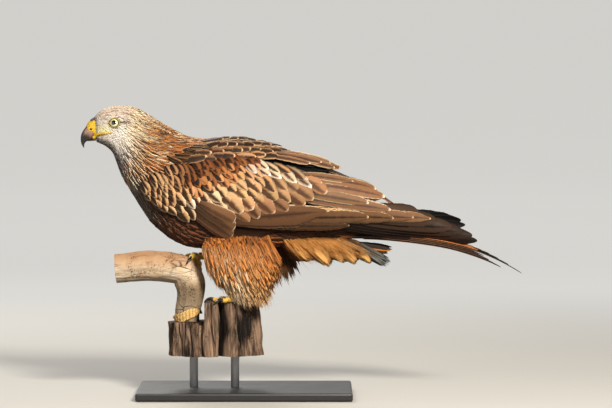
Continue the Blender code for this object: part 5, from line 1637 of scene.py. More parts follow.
    def scapulars(self, coat: Coat, colours: Plumage, side: int) -> None:
        """Rows of broad shoulder feathers that end along the mantle's lower edge, then long narrow ones behind, and
        near-black ones under them as painted shadow.
        """
        chart = BodyChart()
        rng = coat.rng
        for rise, first, last, gap, long, wide, light in (
            (1.0, -52, 56, 13.5, 38, 14, 0.9), (8.0, -44, 72, 13.5, 34, 14, 0.25), (15.5, -40, 62, 13.0, 32, 14, 0.1),
            (22.5, -34, 50, 13.0, 30, 14, 0.0),
        ):
            x = np.arange(first, last, gap) * MM + rng.normal(0, 2.6 * MM, len(np.arange(first, last, gap)))
            z = self.edge(x) + rise * MM + rng.normal(0, 1.5 * MM, len(x))
            tip = self.on_body(x, z, side)
            long_x = long * MM * (1 + rng.normal(0, 0.06, len(x)))
            root = self.on_body(x - long_x, self.edge(x - long_x) + (rise + 2.0) * MM, side)
            count = len(x)
            lift = np.tile((1.0 * MM, 5.4 * MM), (count, 1)) + rng.normal(0, 0.35 * MM, (count, 1))
            plumes = between(chart, root, tip, np.full(count, wide * MM), lift, camber=0.17, roll=-0.4 * side * MM)
            paint = colours.mantle(tip[:, 0], tip[:, 1], tip)
            pale = light * ease(x, -46 * MM, 4 * MM)
            ground = blend(paint.ground, srgb(198, 150, 104), pale * (0.6 + 0.4 * rng.random(count)))
            ground = blend(ground, srgb(120, 80, 50), 0.6 * ease(x, -36 * MM, -56 * MM))
            heart = blend(paint.heart, srgb(104, 74, 52), rng.random(count) * (0.2 + 0.7 * pale))
            width = paint.heart_width * (1 - (0.25 + 0.4 * pale) * rng.random(count))
            coat.lay(chart, plumes, GREAT_COVERT, Paint(ground, heart, paint.rim, width, 1.2, 0.2))
        out = unit(np.array((0.2, 0.75 * side, 0.65)))
        # Painted shadow: near-black feathers hang under the scapulars' edge.
        shadow_rows = ((6, 32, 331, 70, 31, 321, 11), (26, 29, 330, 92, 32, 316.5, 12), (50, 28, 326, 108, 31, 314.5, 11),
                     (62, 27, 324, 117, 29, 316, 9), (30, 27, 336, 100, 30, 322, 12))
        pale_rows = ((30, 22, 342, 96, 25, 333, 15), (44, 27, 340, 108, 29.5, 328, 14), (56, 22, 340, 120, 24, 326, 14),
                     (60, 28, 336, 126, 30.5, 320.5, 13), (72, 18, 334, 134, 20, 319, 13), (34, 31, 337, 92, 34, 326.5, 13))
        for rows, paint in (
            (shadow_rows, Paint(srgb(7, 5, 4), srgb(4, 3, 3), srgb(10, 7, 6), 0.3, 1.0, 0.03)),
            (pale_rows, Paint(srgb(140, 100, 72), srgb(76, 54, 42), srgb(240, 204, 160), 0.42, 1.1, 0.22)),
        ):
            table = np.array(rows, float) * MM
            root, tip = table[:, 0:3] * (1, side, 1), table[:, 3:6] * (1, side, 1)
            ways = np.tile(out, (len(rows), 1))
            hang(coat, root, tip, table[:, 6], ways, ways * 1.5 * MM, GREAT_COVERT, paint, camber=0.16)

    def build_mantle(self, finish: bpy.types.Material, colours: Plumage) -> bpy.types.Object:
        """Back and shoulder feathers, with the long scapulars that lie over the wings' upper edges."""
        chart = BodyChart()
        coat = Coat("mantle_coat", finish, 13)
        rng = coat.rng
        for first, last, gap, long, wide in ((6.2, 9.9, 4.0, 5.6, 1.25), (8.9, 13.4, 8.8, 3.2, 1.6)):
            roots = scatter(chart, (first, last), (-1.3, 1.3),
                            lambda place, turn, g=gap: np.full(place.shape, g * MM), rng)
            points = chart.point(roots[:, 0], roots[:, 1])
            length = gap * long * MM * (1 + rng.normal(0, 0.08, len(roots)))
            floor = self.edge(points[:, 0] + 0.9 * length) + (0.6 * gap + 2.5) * MM
            keep = self.on_mantle(points, rng.normal(0, 2 * MM, len(points))) & (points[:, 2] > floor)
            roots, length = roots[keep], length[keep]
            count = len(roots)
            angle = np.sign(roots[:, 1]) * -0.12 * ease(roots[:, 0], 8.6, 7.0) + rng.normal(0, 0.09, count)
            over = MM * 3.0 * ease(np.abs(roots[:, 1]), 0.3, 0.9)
            lift = np.stack([over - 1.5 * MM, over + 1.8 * MM + rng.normal(0, 0.3 * MM, count)], axis=-1)
            plumes = on_chart(chart, roots, angle, length, gap * wide * MM * np.ones(count), lift, camber=0.2)
            points = chart.point(roots[:, 0], roots[:, 1])
            form = BODY_PLUME if gap < 8 else COVERT
            coat.lay(chart, plumes, form, colours.mantle(roots[:, 0], roots[:, 1], points))
        self.saddle(coat)
        for side in (LEFT, RIGHT):
            self.scapulars(coat, colours, side)
        return coat.build()

    @staticmethod
    def saddle(coat: Coat) -> None:
        """Broad feathers that close the back between the folded wings, row over row down to the tail's root."""
        rng = coat.rng
        line = np.array([(40, 344), (60, 338), (98, 328.5), (128, 313), (150, 304), (168, 297), (185, 287), (200, 275),
                         (225, 256), (250, 245)])
        for number, start in enumerate(range(207, 52, -9)):
            narrow = 1 - 0.5 * float(ease(start, 160, 205))
            y = (np.linspace(-20, 20, 7) + 3.3 * (number % 2)) * narrow + rng.normal(0, 0.8, 7)
            x = start + rng.normal(0, 1.5, 7)
            long = 33 + rng.normal(0, 2, 7)
            high, low = np.interp(x, *line.T) - 3.0, np.interp(x + long, *line.T) + 0.8
            fall = 0.006 * y**2
            root = np.column_stack([x, y * 0.9, high - fall]) * MM
            tip = np.column_stack([x + long * 0.97, y, low - fall]) * MM
            out = unit(np.column_stack([np.full(7, 0.4), 0.012 * y, np.ones(7)]))
            share, rear = ease(x, 90, 160), ease(x, 165, 200)
            hang(coat, root, tip, rng.normal(12.5, 0.7, 7) * MM, out, out * 1.0 * MM, COVERT, Paint(
                blend(blend(srgb(146, 104, 72), srgb(160, 108, 68), share), srgb(176, 100, 52), rear), srgb(56, 39, 30),
                srgb(222, 178, 130), 0.6 - 0.15 * share - 0.2 * rear, 1.15, 0.13), camber=0.16)


@dataclass
class TailFeathers:
    """Twelve tail quills in layers, the middle pair on top, and the coverts over their roots."""

    pairs: int = 6
    layer: float = 0.82 * MM
    outer_length: float = 238 * MM
    fork: float = 74 * MM
    near_short: float = 33 * MM
    root_spread: float = 8 * MM
    tip_spread: float = 27 * MM
    width: float = 24 * MM

    def build(self, finish: bpy.types.Material) -> bpy.types.Object:
        """Lays the quills from the outermost, lowest pair up, then the upper coverts."""
        chart = TailChart()
        coat = Coat("tail_feathers", finish, 21)
        number = np.arange(2 * self.pairs)
        pair, side = number // 2, np.where(number % 2, LEFT, RIGHT)
        outwards = (pair + 0.4) / (self.pairs - 0.6)
        tip_x = chart.root_x + self.outer_length - self.fork * np.clip(1 - outwards, 0, 1) ** 0.8
        tip_x = tip_x - self.near_short * (side == LEFT) * ease(outwards, 0.0, 1.0)
        start = np.full(len(number), chart.root_x + 14 * MM)
        root = np.stack([start, side * self.root_spread * outwards], axis=-1)
        tip = np.stack([tip_x, side * self.tip_spread * outwards], axis=-1)
        lift = np.stack([-self.layer * number, -0.6 * self.layer * number], axis=-1)
        outer = ease(outwards, 0.15, 0.5)
        paint = Paint(
            blend(srgb(206, 122, 58), srgb(76, 53, 38), outer), blend(srgb(120, 72, 40), srgb(40, 29, 24), outer),
            blend(srgb(222, 150, 88), srgb(150, 108, 76), outer), 0.25 + 0.4 * outer, 1.8, 0.06, 0.08,
        )
        plumes = between(chart, root, tip, np.full(len(number), self.width), lift, camber=0.03,
                         roll=-0.4 * MM * side, bow=0.0)
        coat.lay(chart, plumes, TAIL_QUILL, paint)
        count = 26
        share = np.linspace(0, 1, count)
        across = 13 * MM * np.sin(np.arange(count) * 2.4)
        root = np.stack([(138 + 36 * share) * MM, across * 0.6], axis=-1)
        tip = root + np.stack([np.full(count, 46 * MM), across * 0.5], axis=-1)
        order = np.argsort(-share)
        lift = np.stack([np.full(count, 0.4), 0.9 + 2.2 * (1 - share)], axis=-1) * MM
        plumes = between(chart, root[order], tip[order], np.full(count, 15 * MM), lift[order], camber=0.16)
        coat.lay(chart, plumes, COVERT, Paint(srgb(186, 108, 54), srgb(62, 40, 30), srgb(220, 152, 92), 0.25, 0.9, 0.12))
        return coat.build()


class HangRow(NamedTuple):
    """A row of loose feathers from first to last: x, distance from the middle plane and z, in millimetres."""

    count: int
    first_root: tuple[float, float, float]
    last_root: tuple[float, float, float]
    first_tip: tuple[float, float, float]
    last_tip: tuple[float, float, float]
    widths: tuple[float, float]
    puff: float


def hang(coat: Coat, root: Array, tip: Array, width: Array, out: Array, bend: Array, form: Form, paint: Paint,
         camber: float = 0.2) -> None:
    """Adds loose feathers that run from root to tip through the air.

    Args:
        coat: the coat that they join.
        root: places of the roots.
        tip: places of the tips.
        width: widths.
        out: the way that each feather's outer side looks.
        bend: how far each feather's middle bulges, as a vector.
        form: their shape.
        paint: their colours.
        camber: how much they arch across.
    """
    step = tip - root
    length = np.linalg.norm(step, axis=1)
    ahead = (step + 4 * bend) / length[:, None]
    aside = unit(np.cross(out, ahead))
    chart = FreeChart(root, ahead, aside, unit(np.cross(ahead, aside)), -4 * bend / (length**2)[:, None])
    count = len(root)
    plumes = Plumes(
        np.zeros((count, 2)), np.stack([length, np.zeros(count)], axis=-1), np.tile((0.0, 1.0), (count, 1)),
        length, width, np.zeros((count, 2)), camber=camber,
    )
    coat.lay(chart, plumes, form, paint)
    coat.places[-1] = root[:, [0, 2]]


@dataclass
class Undertail:
    """The soft feathers round the vent and under the tail: plump lobes with painted shade in the hollows between them,
    and loose down.
    """

    # Every lobe's root and tip as x and z, its half width and how far it stands from the middle plane.
    lobes: tuple[tuple[float, float, float, float, float, float], ...] = (
        (58, 219, 90, 191, 8.0, 21), (86, 221, 120, 183, 10.5, 21), (106, 216, 140, 188, 6.5, 16),
        (128, 220, 156, 186, 9.0, 17), (148, 215, 176, 187, 7.0, 12),
    )
    rows: tuple[HangRow, ...] = (
        HangRow(14, (50, 4, 218), (150, 4, 217), (84, 5, 192), (186, 4, 190), (18, 14), 4),
        HangRow(14, (46, 11, 226), (140, 9, 222), (76, 13, 198), (172, 10, 196), (18, 14), 4),
    )
    strands: int = 700

    def lobe(self, coat: Coat, side: int, numbers: Sequence[float]) -> None:
        """One lobe: many narrow soft feathers whose tips close in a round end, painted light in its middle and shaded
        at its sides.
        """
        rng = coat.rng
        root_x, root_z, tip_x, tip_z, half, out = (n * MM for n in numbers)
        root, tip = np.array((root_x, root_z)), np.array((tip_x, tip_z))
        along = tip - root
        across = np.array((-along[1], along[0])) / np.linalg.norm(along)
        count = 150
        share, layer = rng.uniform(-1, 1, (count, 1)), rng.random((count, 1)) ** 0.7
        round_end = np.sqrt(1 - 0.85 * share**2)
        start = root + along * 0.42 * rng.random((count, 1)) ** 1.5 + across * half * 0.75 * share
        end = root + along * (0.45 + 0.55 * round_end) * rng.uniform(0.84, 1.04, (count, 1)) + across * half * share * 0.9
        away = side * out * (0.55 + 0.45 * layer * round_end)
        start3 = np.column_stack([start[:, 0], away[:, 0] * 0.85, start[:, 1]])
        end3 = np.column_stack([end[:, 0], away[:, 0], end[:, 1]])
        facing = unit(np.column_stack([0.5 * share * across[0], np.full(count, float(side)), 0.5 * share * across[1] - 0.15]))
        # Painted light and shade: feathers in the lobe's middle and top layer are lighter, those at its sides and
        # underneath darker.
        light = np.clip(1.1 - 1.1 * np.abs(share[:, 0]) ** 1.6 - 0.4 * (1 - layer[:, 0]), 0, 1)
        ground = blend(srgb(104, 58, 26), srgb(228, 170, 98), np.clip(light + rng.normal(0, 0.06, count), 0, 1))
        hang(coat, start3, end3, rng.uniform(4.5, 7.5, count) * MM, facing, facing * 2.5 * MM, SILK, Paint(
            ground, srgb(112, 64, 30), srgb(238, 186, 116), np.where(rng.random(count) < 0.15, 0.3, 0.03), 0.95, 0.16), camber=0.24)

    def build(self, finish: bpy.types.Material) -> bpy.types.Object:
        """Hangs a dark inner layer that paints the shade between the lobes, the lobes and fine strands among them, then
        the tufts at the end.
        """
        coat = Coat("undertail_coverts", finish, 22)
        rng = coat.rng
        for side in (LEFT, RIGHT):
            for row in self.rows:
                share = np.linspace(0, 1, row.count)[:, None]
                root, tip = (
                    (np.array(a) * (1 - share) + np.array(b) * share) * MM * (1, side, 1)
                    for a, b in ((row.first_root, row.last_root), (row.first_tip, row.last_tip))
                )
                tip = tip + rng.normal(0, 2.0 * MM, tip.shape)
                width = (row.widths[0] * (1 - share) + row.widths[1] * share)[:, 0] * MM
                out = unit(np.array((0.1, side, -0.25)) + rng.normal(0, 0.12, root.shape))
                # Painted shade: the inner layer is dark brown so that the hollows between the lobes read as shadow.
                ground = blend(srgb(92, 52, 26), srgb(62, 44, 32), ease(root[:, 0] / MM, 110, 150))
                hang(coat, root, tip, width, out, out * row.puff * MM, LOBE, Paint(
                    ground, srgb(50, 30, 20), srgb(140, 88, 48), 0.1, 0.9, 0.16), camber=0.3)
            for numbers in self.lobes:
                self.lobe(coat, side, numbers)
            self.tufts(coat, side)
            share, level = rng.random((self.strands, 1)), rng.random((self.strands, 1))
            low, high = np.array((52, 8, 216)), np.array((48, 20, 226))
            far_low, far_high = np.array((150, 5, 216)), np.array((132, 14, 222))
            root = ((low * (1 - level) + high * level) * (1 - share)
                    + (far_low * (1 - level) + far_high * level) * share) * MM * (1, side, 1)
            reach = np.column_stack([30 + 14 * share[:, 0], side * (2 + 5 * level[:, 0]), -32 + 8 * share[:, 0]])
            tip = root + reach * MM * (0.5 + 0.62 * rng.random((self.strands, 1)))
            tip = tip + rng.normal(0, 2.5 * MM, tip.shape)
            out = np.tile((0.0, float(side), 0.0), (self.strands, 1))
            ground = blend(srgb(208, 138, 66), srgb(126, 92, 62), ease(root[:, 0] / MM + rng.normal(0, 8, self.strands), 116, 140))
            hang(coat, root, tip, np.full(self.strands, 0.9 * MM), out, out * 3 * MM, STRAND, Paint(
                ground, srgb(150, 96, 48), srgb(226, 168, 100), 0.1, 0.8, 0.3))
        return coat.build()

    @staticmethod
    def tufts(coat: Coat, side: int) -> None:
        """The grey tuft behind the last lobe, and the dark and orange strips above it."""
        rng = coat.rng
        count = 70
        share, layer = rng.uniform(-1, 1, count), rng.random(count)
        root = np.column_stack([152 + 10 * layer, side * (3 + 8 * layer), 210 + 5 * share]) * MM
        tip = np.column_stack([196 + 9 * rng.random(count) - 6 * share**2, side * (3 + 7 * layer),
                               188 + 8 * share]) * MM
        out = unit(np.column_stack([0.1 * share, np.full(count, float(side)), 0.35 * share]))
        ground = blend(srgb(118, 118, 112), srgb(84, 82, 76), rng.random(count))
        hang(coat, root, tip, rng.uniform(2.5, 4.5, count) * MM, out, out * 1.5 * MM, SILK, Paint(
            ground, srgb(48, 44, 40), srgb(140, 138, 128), 0.1, 0.9, 0.2))
        for level, long, tone in ((214.5, 58, (44, 32, 26)), (211.5, 56, (190, 116, 50)), (208.5, 52, (52, 36, 28)),
                                  (212.5, 50, (70, 46, 32)), (206, 46, (176, 112, 56))):
            root = np.array([(148, side * 8, level), (146, side * 4, level)]) * MM
            tip = root + np.array((long, 0, -7.5 + rng.normal(0, 1.0))) * MM
            out = np.tile((0.0, float(side), 0.15), (2, 1))
            hang(coat, root, tip, np.full(2, 6.5 * MM), out, out * 1.0 * MM, LOBE, Paint(
                srgb(*tone), srgb(30, 22, 18), srgb(*tone), 0.1, 1.0, 0.05))


@dataclass
class Trousers:
    """A feathered thigh: soft overlapping blades with loose strands that hang past the heel."""

    side: int
    strands: int = 3400

    def point(self, place: Array, turn: Array, lift: float = 0.0) -> tuple[Array, Array]:
        """A place on the thigh and the way out of it."""
        row = through(THIGH_STATIONS[self.side], place)
        cos, sin = np.cos(turn), np.sin(turn)
        x = row[:, 0] + (row[:, 3] + lift) * cos
        y = self.side * row[:, 1] + (row[:, 4] + lift) * sin
        out = unit(np.stack([cos / row[:, 3], sin / row[:, 4], -0.01 + 0 * cos], axis=-1))
        return np.stack([x, y, row[:, 2]], axis=-1), out

    def colours(self, root: Array, rng: np.random.Generator) -> Array:
        """Deep orange above, pale tan below, and cream low down in front, with painted shade at the top under the wing
        and over the whole far thigh.
        """
        x, z = root[:, 0] / MM, root[:, 2] / MM + rng.normal(0, 7, len(root))
        ground = blend(srgb(206, 122, 52), srgb(224, 156, 88), ease(z, 214, 186))
        ground = blend(ground, srgb(226, 174, 114), ease(z, 184, 156))
        cream = ease(x, 6, -14) * ease(z, 194, 178) * (rng.random(len(root)) < 0.75)
        ground = blend(ground, srgb(250, 228, 190), 0.85 * cream)
        # Painted shade: dark brown at the thigh's top, under the wing.
        ground = blend(ground, srgb(112, 62, 30), 0.8 * ease(z, 216, 228))
        # Painted shade: the far thigh is a darker copy of the near one.
        return ground if self.side == LEFT else ground * 0.62

    def flank(self, coat: Coat) -> None:
        """The loose feathers behind the thigh: a squared orange flap on the left, long ones on the right painted dark
        brown as shade.
        """
        rng = coat.rng
        near = self.side == LEFT
        count = 150 if near else 420
        share, layer = rng.random((count, 1)), rng.random((count, 1))
        if near:
            root = np.hstack([6 + 26 * share, -(24 + 9 * layer), 226 + 4 * layer])
            tip = np.hstack([14 + 26 * share, -(25 + 10 * layer), 199 + rng.normal(0, 3, (count, 1)) - 4 * (1 - share)])
            ground = blend(srgb(196, 112, 46), srgb(216, 140, 66), rng.random(count))
        else:
            root = np.hstack([8 + 44 * share, 8 + 22 * layer, 228 - 8 * share])
            low = 156 + 16 * share + rng.normal(0, 7, (count, 1)) + 12 * (1 - layer)
            tip = np.hstack([38 + 34 * share + rng.normal(0, 3, (count, 1)), 8 + 20 * layer, low])
            # Painted shade: the far side's loose feathers are dark brown.
            ground = blend(srgb(78, 50, 30), srgb(112, 76, 46), rng.random(count) * ease(tip[:, 2], 186, 160))
        out = unit(np.hstack([0.3 * np.ones((count, 1)), self.side * np.ones((count, 1)), 0.1 * np.ones((count, 1))]))
        hang(coat, root * MM, tip * MM, rng.uniform(2.6, 5.0, count) * MM, out, out * 2.0 * MM, SILK, Paint(
            ground, srgb(70, 42, 26), blend(ground, srgb(226, 186, 140), 0.3 + 0 * share[:, 0]), 0.14, 0.92, 0.14))

    def build(self, finish: bpy.types.Material) -> bpy.types.Object:
        """Covers the thigh from its top down, then hangs the strands."""
        coat = Coat(f"thigh_feathers_{SIDE_NAMES[self.side]}", finish, 51 + self.side)
        rng = coat.rng
        for level in np.linspace(0.0, 4.9, 31):
            row = through(THIGH_STATIONS[self.side], np.array(level))
            girth = np.pi * (row[3] + row[4])
            count = int(girth / (3.0 * MM))
            turn = np.linspace(0, 2 * np.pi, count, endpoint=False) + rng.random() + rng.normal(0, 0.05, count)
            root, out = self.point(level + rng.normal(0, 0.1, count), turn, (-4.0 if level < 0.5 else -1.2) * MM)
            down = np.array((0.36, 0.0, -1.0)) + out * (0.08, 0.12, 0.0) + rng.normal(0, 0.06, (count, 3))
            length = (26 + 16 * rng.random(count)) * (1 - 0.06 * level) * MM
            tip = root + unit(down) * length[:, None] + out * 0.5 * MM
            ground = self.colours(root, rng)
            streak = np.where(rng.random(count) < 0.15, 0.12, 0.02) * ease(root[:, 2] / MM, 176, 200) + 0.02
            hang(coat, root, tip, 6.2 * MM + rng.normal(0, 0.8 * MM, count), out, out * 0.7 * MM, SILK,
                 Paint(ground, srgb(120, 68, 36), blend(ground, srgb(244, 214, 168), 0.3 + 0 * length), streak, 0.96, 0.14),
                 camber=0.06)
        place, turn = rng.uniform(0.9, 4.9, self.strands), rng.uniform(0, 2 * np.pi, self.strands)
        root, out = self.point(place, turn, -1.0 * MM)
        down = np.array((0.42, 0.0, -1.0)) + out * (0.14, 0.18, 0.0) + rng.normal(0, 0.11, (self.strands, 3))
        length = (12 + 17 * rng.random(self.strands) + 7 * ease(place, 2, 4.5)) * MM
        tip = root + unit(down) * length[:, None]
        ground = self.colours(root - (0, 0, 0.012), rng)
        hang(coat, root, tip, rng.uniform(0.7, 1.3, self.strands) * MM, out, out * 2 * MM, STRAND,
             Paint(ground, srgb(110, 66, 38), blend(ground, srgb(248, 222, 182), 0.5 + 0 * length), 0.1, 0.8, 0.35))
        self.flank(coat)
        return coat.build()


def loft_mesh(name: str, rings: Array, material: bpy.types.Material, maps: Array | None = None,
              replaces: Sequence[str] = ()) -> bpy.types.Object:
    """A closed loft with smooth sides and fanned ends, and its own map.

    Args:
        name: the piece's name.
        rings: sections, each with equally many points, wound so that the sides face outwards.
        material: its finish.
        maps: map numbers of every point, or none for the turn and the share along.
        replaces: the nodes whose looks it takes over.

    Returns:
        The piece.
    """
    count, sides = rings.shape[:2]
    ring, side = np.meshgrid(np.arange(count - 1), np.arange(sides), indexing="ij")
    near, far = ring * sides + side, ring * sides + (side + 1) % sides
    faces = np.stack([near, far, far + sides, near + sides], axis=-1).reshape(-1, 4).tolist()
    middle = count * sides
    for base, end, step in ((0, middle, -1), (middle - sides, middle + 1, 1)):
        loop = list(range(base, base + sides))[::step]
        faces += [(loop[k], loop[(k + 1) % sides], end) for k in range(sides)]
    points = np.concatenate([rings.reshape(-1, 3), rings[:1].mean(axis=1), rings[-1:].mean(axis=1)])
    mesh = bpy.data.meshes.new(name)
    mesh.from_pydata(points.tolist(), [], faces)
    if maps is None:
        turn = np.broadcast_to(np.abs(np.linspace(-1, 1, sides, endpoint=False))[None, :], (count, sides))
        share = np.broadcast_to(np.linspace(0, 1, count)[:, None], (count, sides))
        maps = np.stack([turn, share], axis=-1)
    maps = np.concatenate([maps.reshape(-1, 2), ((0.5, 0.0),), ((0.5, 1.0),)])
    corners = np.empty(len(mesh.loops), np.int32)
    mesh.loops.foreach_get("vertex_index", corners)
    mesh.uv_layers.new(name=PLUME_MAP).uv.foreach_set("vector", maps[corners].astype(np.float32).ravel())
    mesh.shade_smooth()
    mesh.set_sharp_from_angle(angle=math.radians(50))
    mesh.materials.append(material)
    piece = bpy.data.objects.new(name, mesh)
    bpy.context.scene.collection.objects.link(piece)
    if replaces:
        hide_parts(*replaces)
    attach(piece, BODY)
    log.info("%s: %d faces", name, len(faces))
    return piece


def tube_rings(path: Array, radii: Array, sides: int, up: Array) -> Array:
    """Round sections square to a path.

    Args:
        path: the middle line.
        radii: one radius a point, or one a point and side.
        sides: points round each section.
        up: a way that isn't along the path, from which the turn is counted.

    Returns:
        The rings, wound so that a loft through them faces outwards.
    """
    ahead = unit(np.gradient(path, axis=0))
    across = unit(np.cross(ahead, np.broadcast_to(up, ahead.shape)))
    over = np.cross(across, ahead)
    turn = np.linspace(0, 2 * np.pi, sides, endpoint=False)
    radii = np.broadcast_to(np.asarray(radii).reshape(len(path), -1), (len(path), sides))[..., None]
    way = over[:, None] * np.cos(turn)[None, :, None] + across[:, None] * np.sin(turn)[None, :, None]
    return path[:, None] + way * radii


@dataclass
class Eye:
    """An eyeball with a clear bulge, in a ring of bare lid under a feathered brow."""

    side: int
    place: float = 2.9
    turn: float = math.radians(74)
    radius: float = 8.2 * MM
    sunk: float = 5.6 * MM
    lid_radius: float = 6.5 * MM

    def seat(self) -> tuple[Vector, Vector]:
        """The eyeball's middle and the way that it looks."""
        chart = BodyChart()
        place, turn = np.array(self.place), np.array(self.side * self.turn)
        surface, outward = Vector(chart.point(place, turn)), Vector(chart.normals(place, turn))
        return surface - outward * self.sunk, outward

    def frame(self) -> tuple[Array, Array, Array, Array]:
        """The middle, the way out, the way forwards and the way up."""
        centre, outward = (np.array(v) for v in self.seat())
        forwards = unit(np.array((-1.0, 0, 0)) - outward * -outward[0])
        return centre, outward, forwards, np.cross(outward, forwards) * -self.side * -1

    def build(self, eye: bpy.types.Material, lid: bpy.types.Material, ring: bpy.types.Material) -> None:
        """Builds the eyeball, the dark lid's edge and the bare ring round it."""
        centre, outward, forwards, up = self.frame()
        name = SIDE_NAMES[self.side]
        angle = np.linspace(0.02, np.pi - 0.05, 64)[:, None]
        turn = np.linspace(0, 2 * np.pi, 64, endpoint=False)[None, :] * self.side
        bulge = self.radius + 0.5 * MM * np.exp(-((angle / 0.62) ** 4))
        around = forwards * np.cos(turn)[..., None] + up * np.sin(turn)[..., None]
        rings = centre + (outward * np.cos(angle)[..., None] + around * np.sin(angle)[..., None]) * bulge[..., None]
        maps = np.stack([np.broadcast_to(np.abs(turn) / (2 * np.pi), rings.shape[:2]),
                         np.broadcast_to(np.clip(angle / 1.2, 0, 1), rings.shape[:2])], axis=-1)
        loft_mesh(f"eyeball_{name}", rings[:, ::-1], eye, maps[:, ::-1], [f"eye_{name}"])
        self.rim(f"eyelid_{name}", 6.05 * MM, 0.62 * MM, 5.75 * MM, lid)
        self.rim(f"eye_ring_{name}", 7.05 * MM, 0.85 * MM, 5.35 * MM, ring)

    def rim(self, name: str, reach: float, thick: float, height: float, material: bpy.types.Material) -> None:
        """A soft ring round the eyeball, drawn out a little in front, lower and thicker under the brow."""
        centre, outward, forwards, up = self.frame()
        spin = np.linspace(0, 2 * np.pi, 72, endpoint=False)
        brow = np.clip(np.sin(spin), 0, 1)
        corner = np.clip(np.cos(spin), 0, 1) ** 12 + 0.6 * np.clip(-np.cos(spin), 0, 1) ** 12
        rows = []
        for tilt in np.linspace(0, 2 * np.pi, 14, endpoint=False):
            girth = thick * (1 + 0.35 * brow)
            away = reach + girth * np.cos(tilt) - 0.5 * MM * brow**2 + 1.3 * MM * corner
            rise = height + girth * np.sin(tilt) - 0.4 * MM * corner
            around = forwards * np.cos(spin)[:, None] + up * np.sin(spin)[:, None]
            rows.append(centre + outward * rise[:, None] + around * away[:, None])
        self.torus(name, np.array(rows), material)

    @staticmethod
    def torus(name: str, rows: Array, material: bpy.types.Material) -> None:
        """A ring closed both ways."""
        count, sides = rows.shape[:2]
        row, side = np.meshgrid(np.arange(count), np.arange(sides), indexing="ij")
        near, far = row * sides + side, row * sides + (side + 1) % sides
        over, beyond = (row + 1) % count * sides + side, (row + 1) % count * sides + (side + 1) % sides
        mesh = bpy.data.meshes.new(name)
        mesh.from_pydata(rows.reshape(-1, 3).tolist(), [],
                         np.stack([near, far, beyond, over], axis=-1).reshape(-1, 4).tolist())
        shape = bmesh.new()
        shape.from_mesh(mesh)
        bmesh.ops.recalc_face_normals(shape, faces=shape.faces)
        shape.to_mesh(mesh)
        shape.free()
        mesh.shade_smooth()
        mesh.materials.append(material)
        piece = bpy.data.objects.new(name, mesh)
        bpy.context.scene.collection.objects.link(piece)
        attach(piece, BODY)


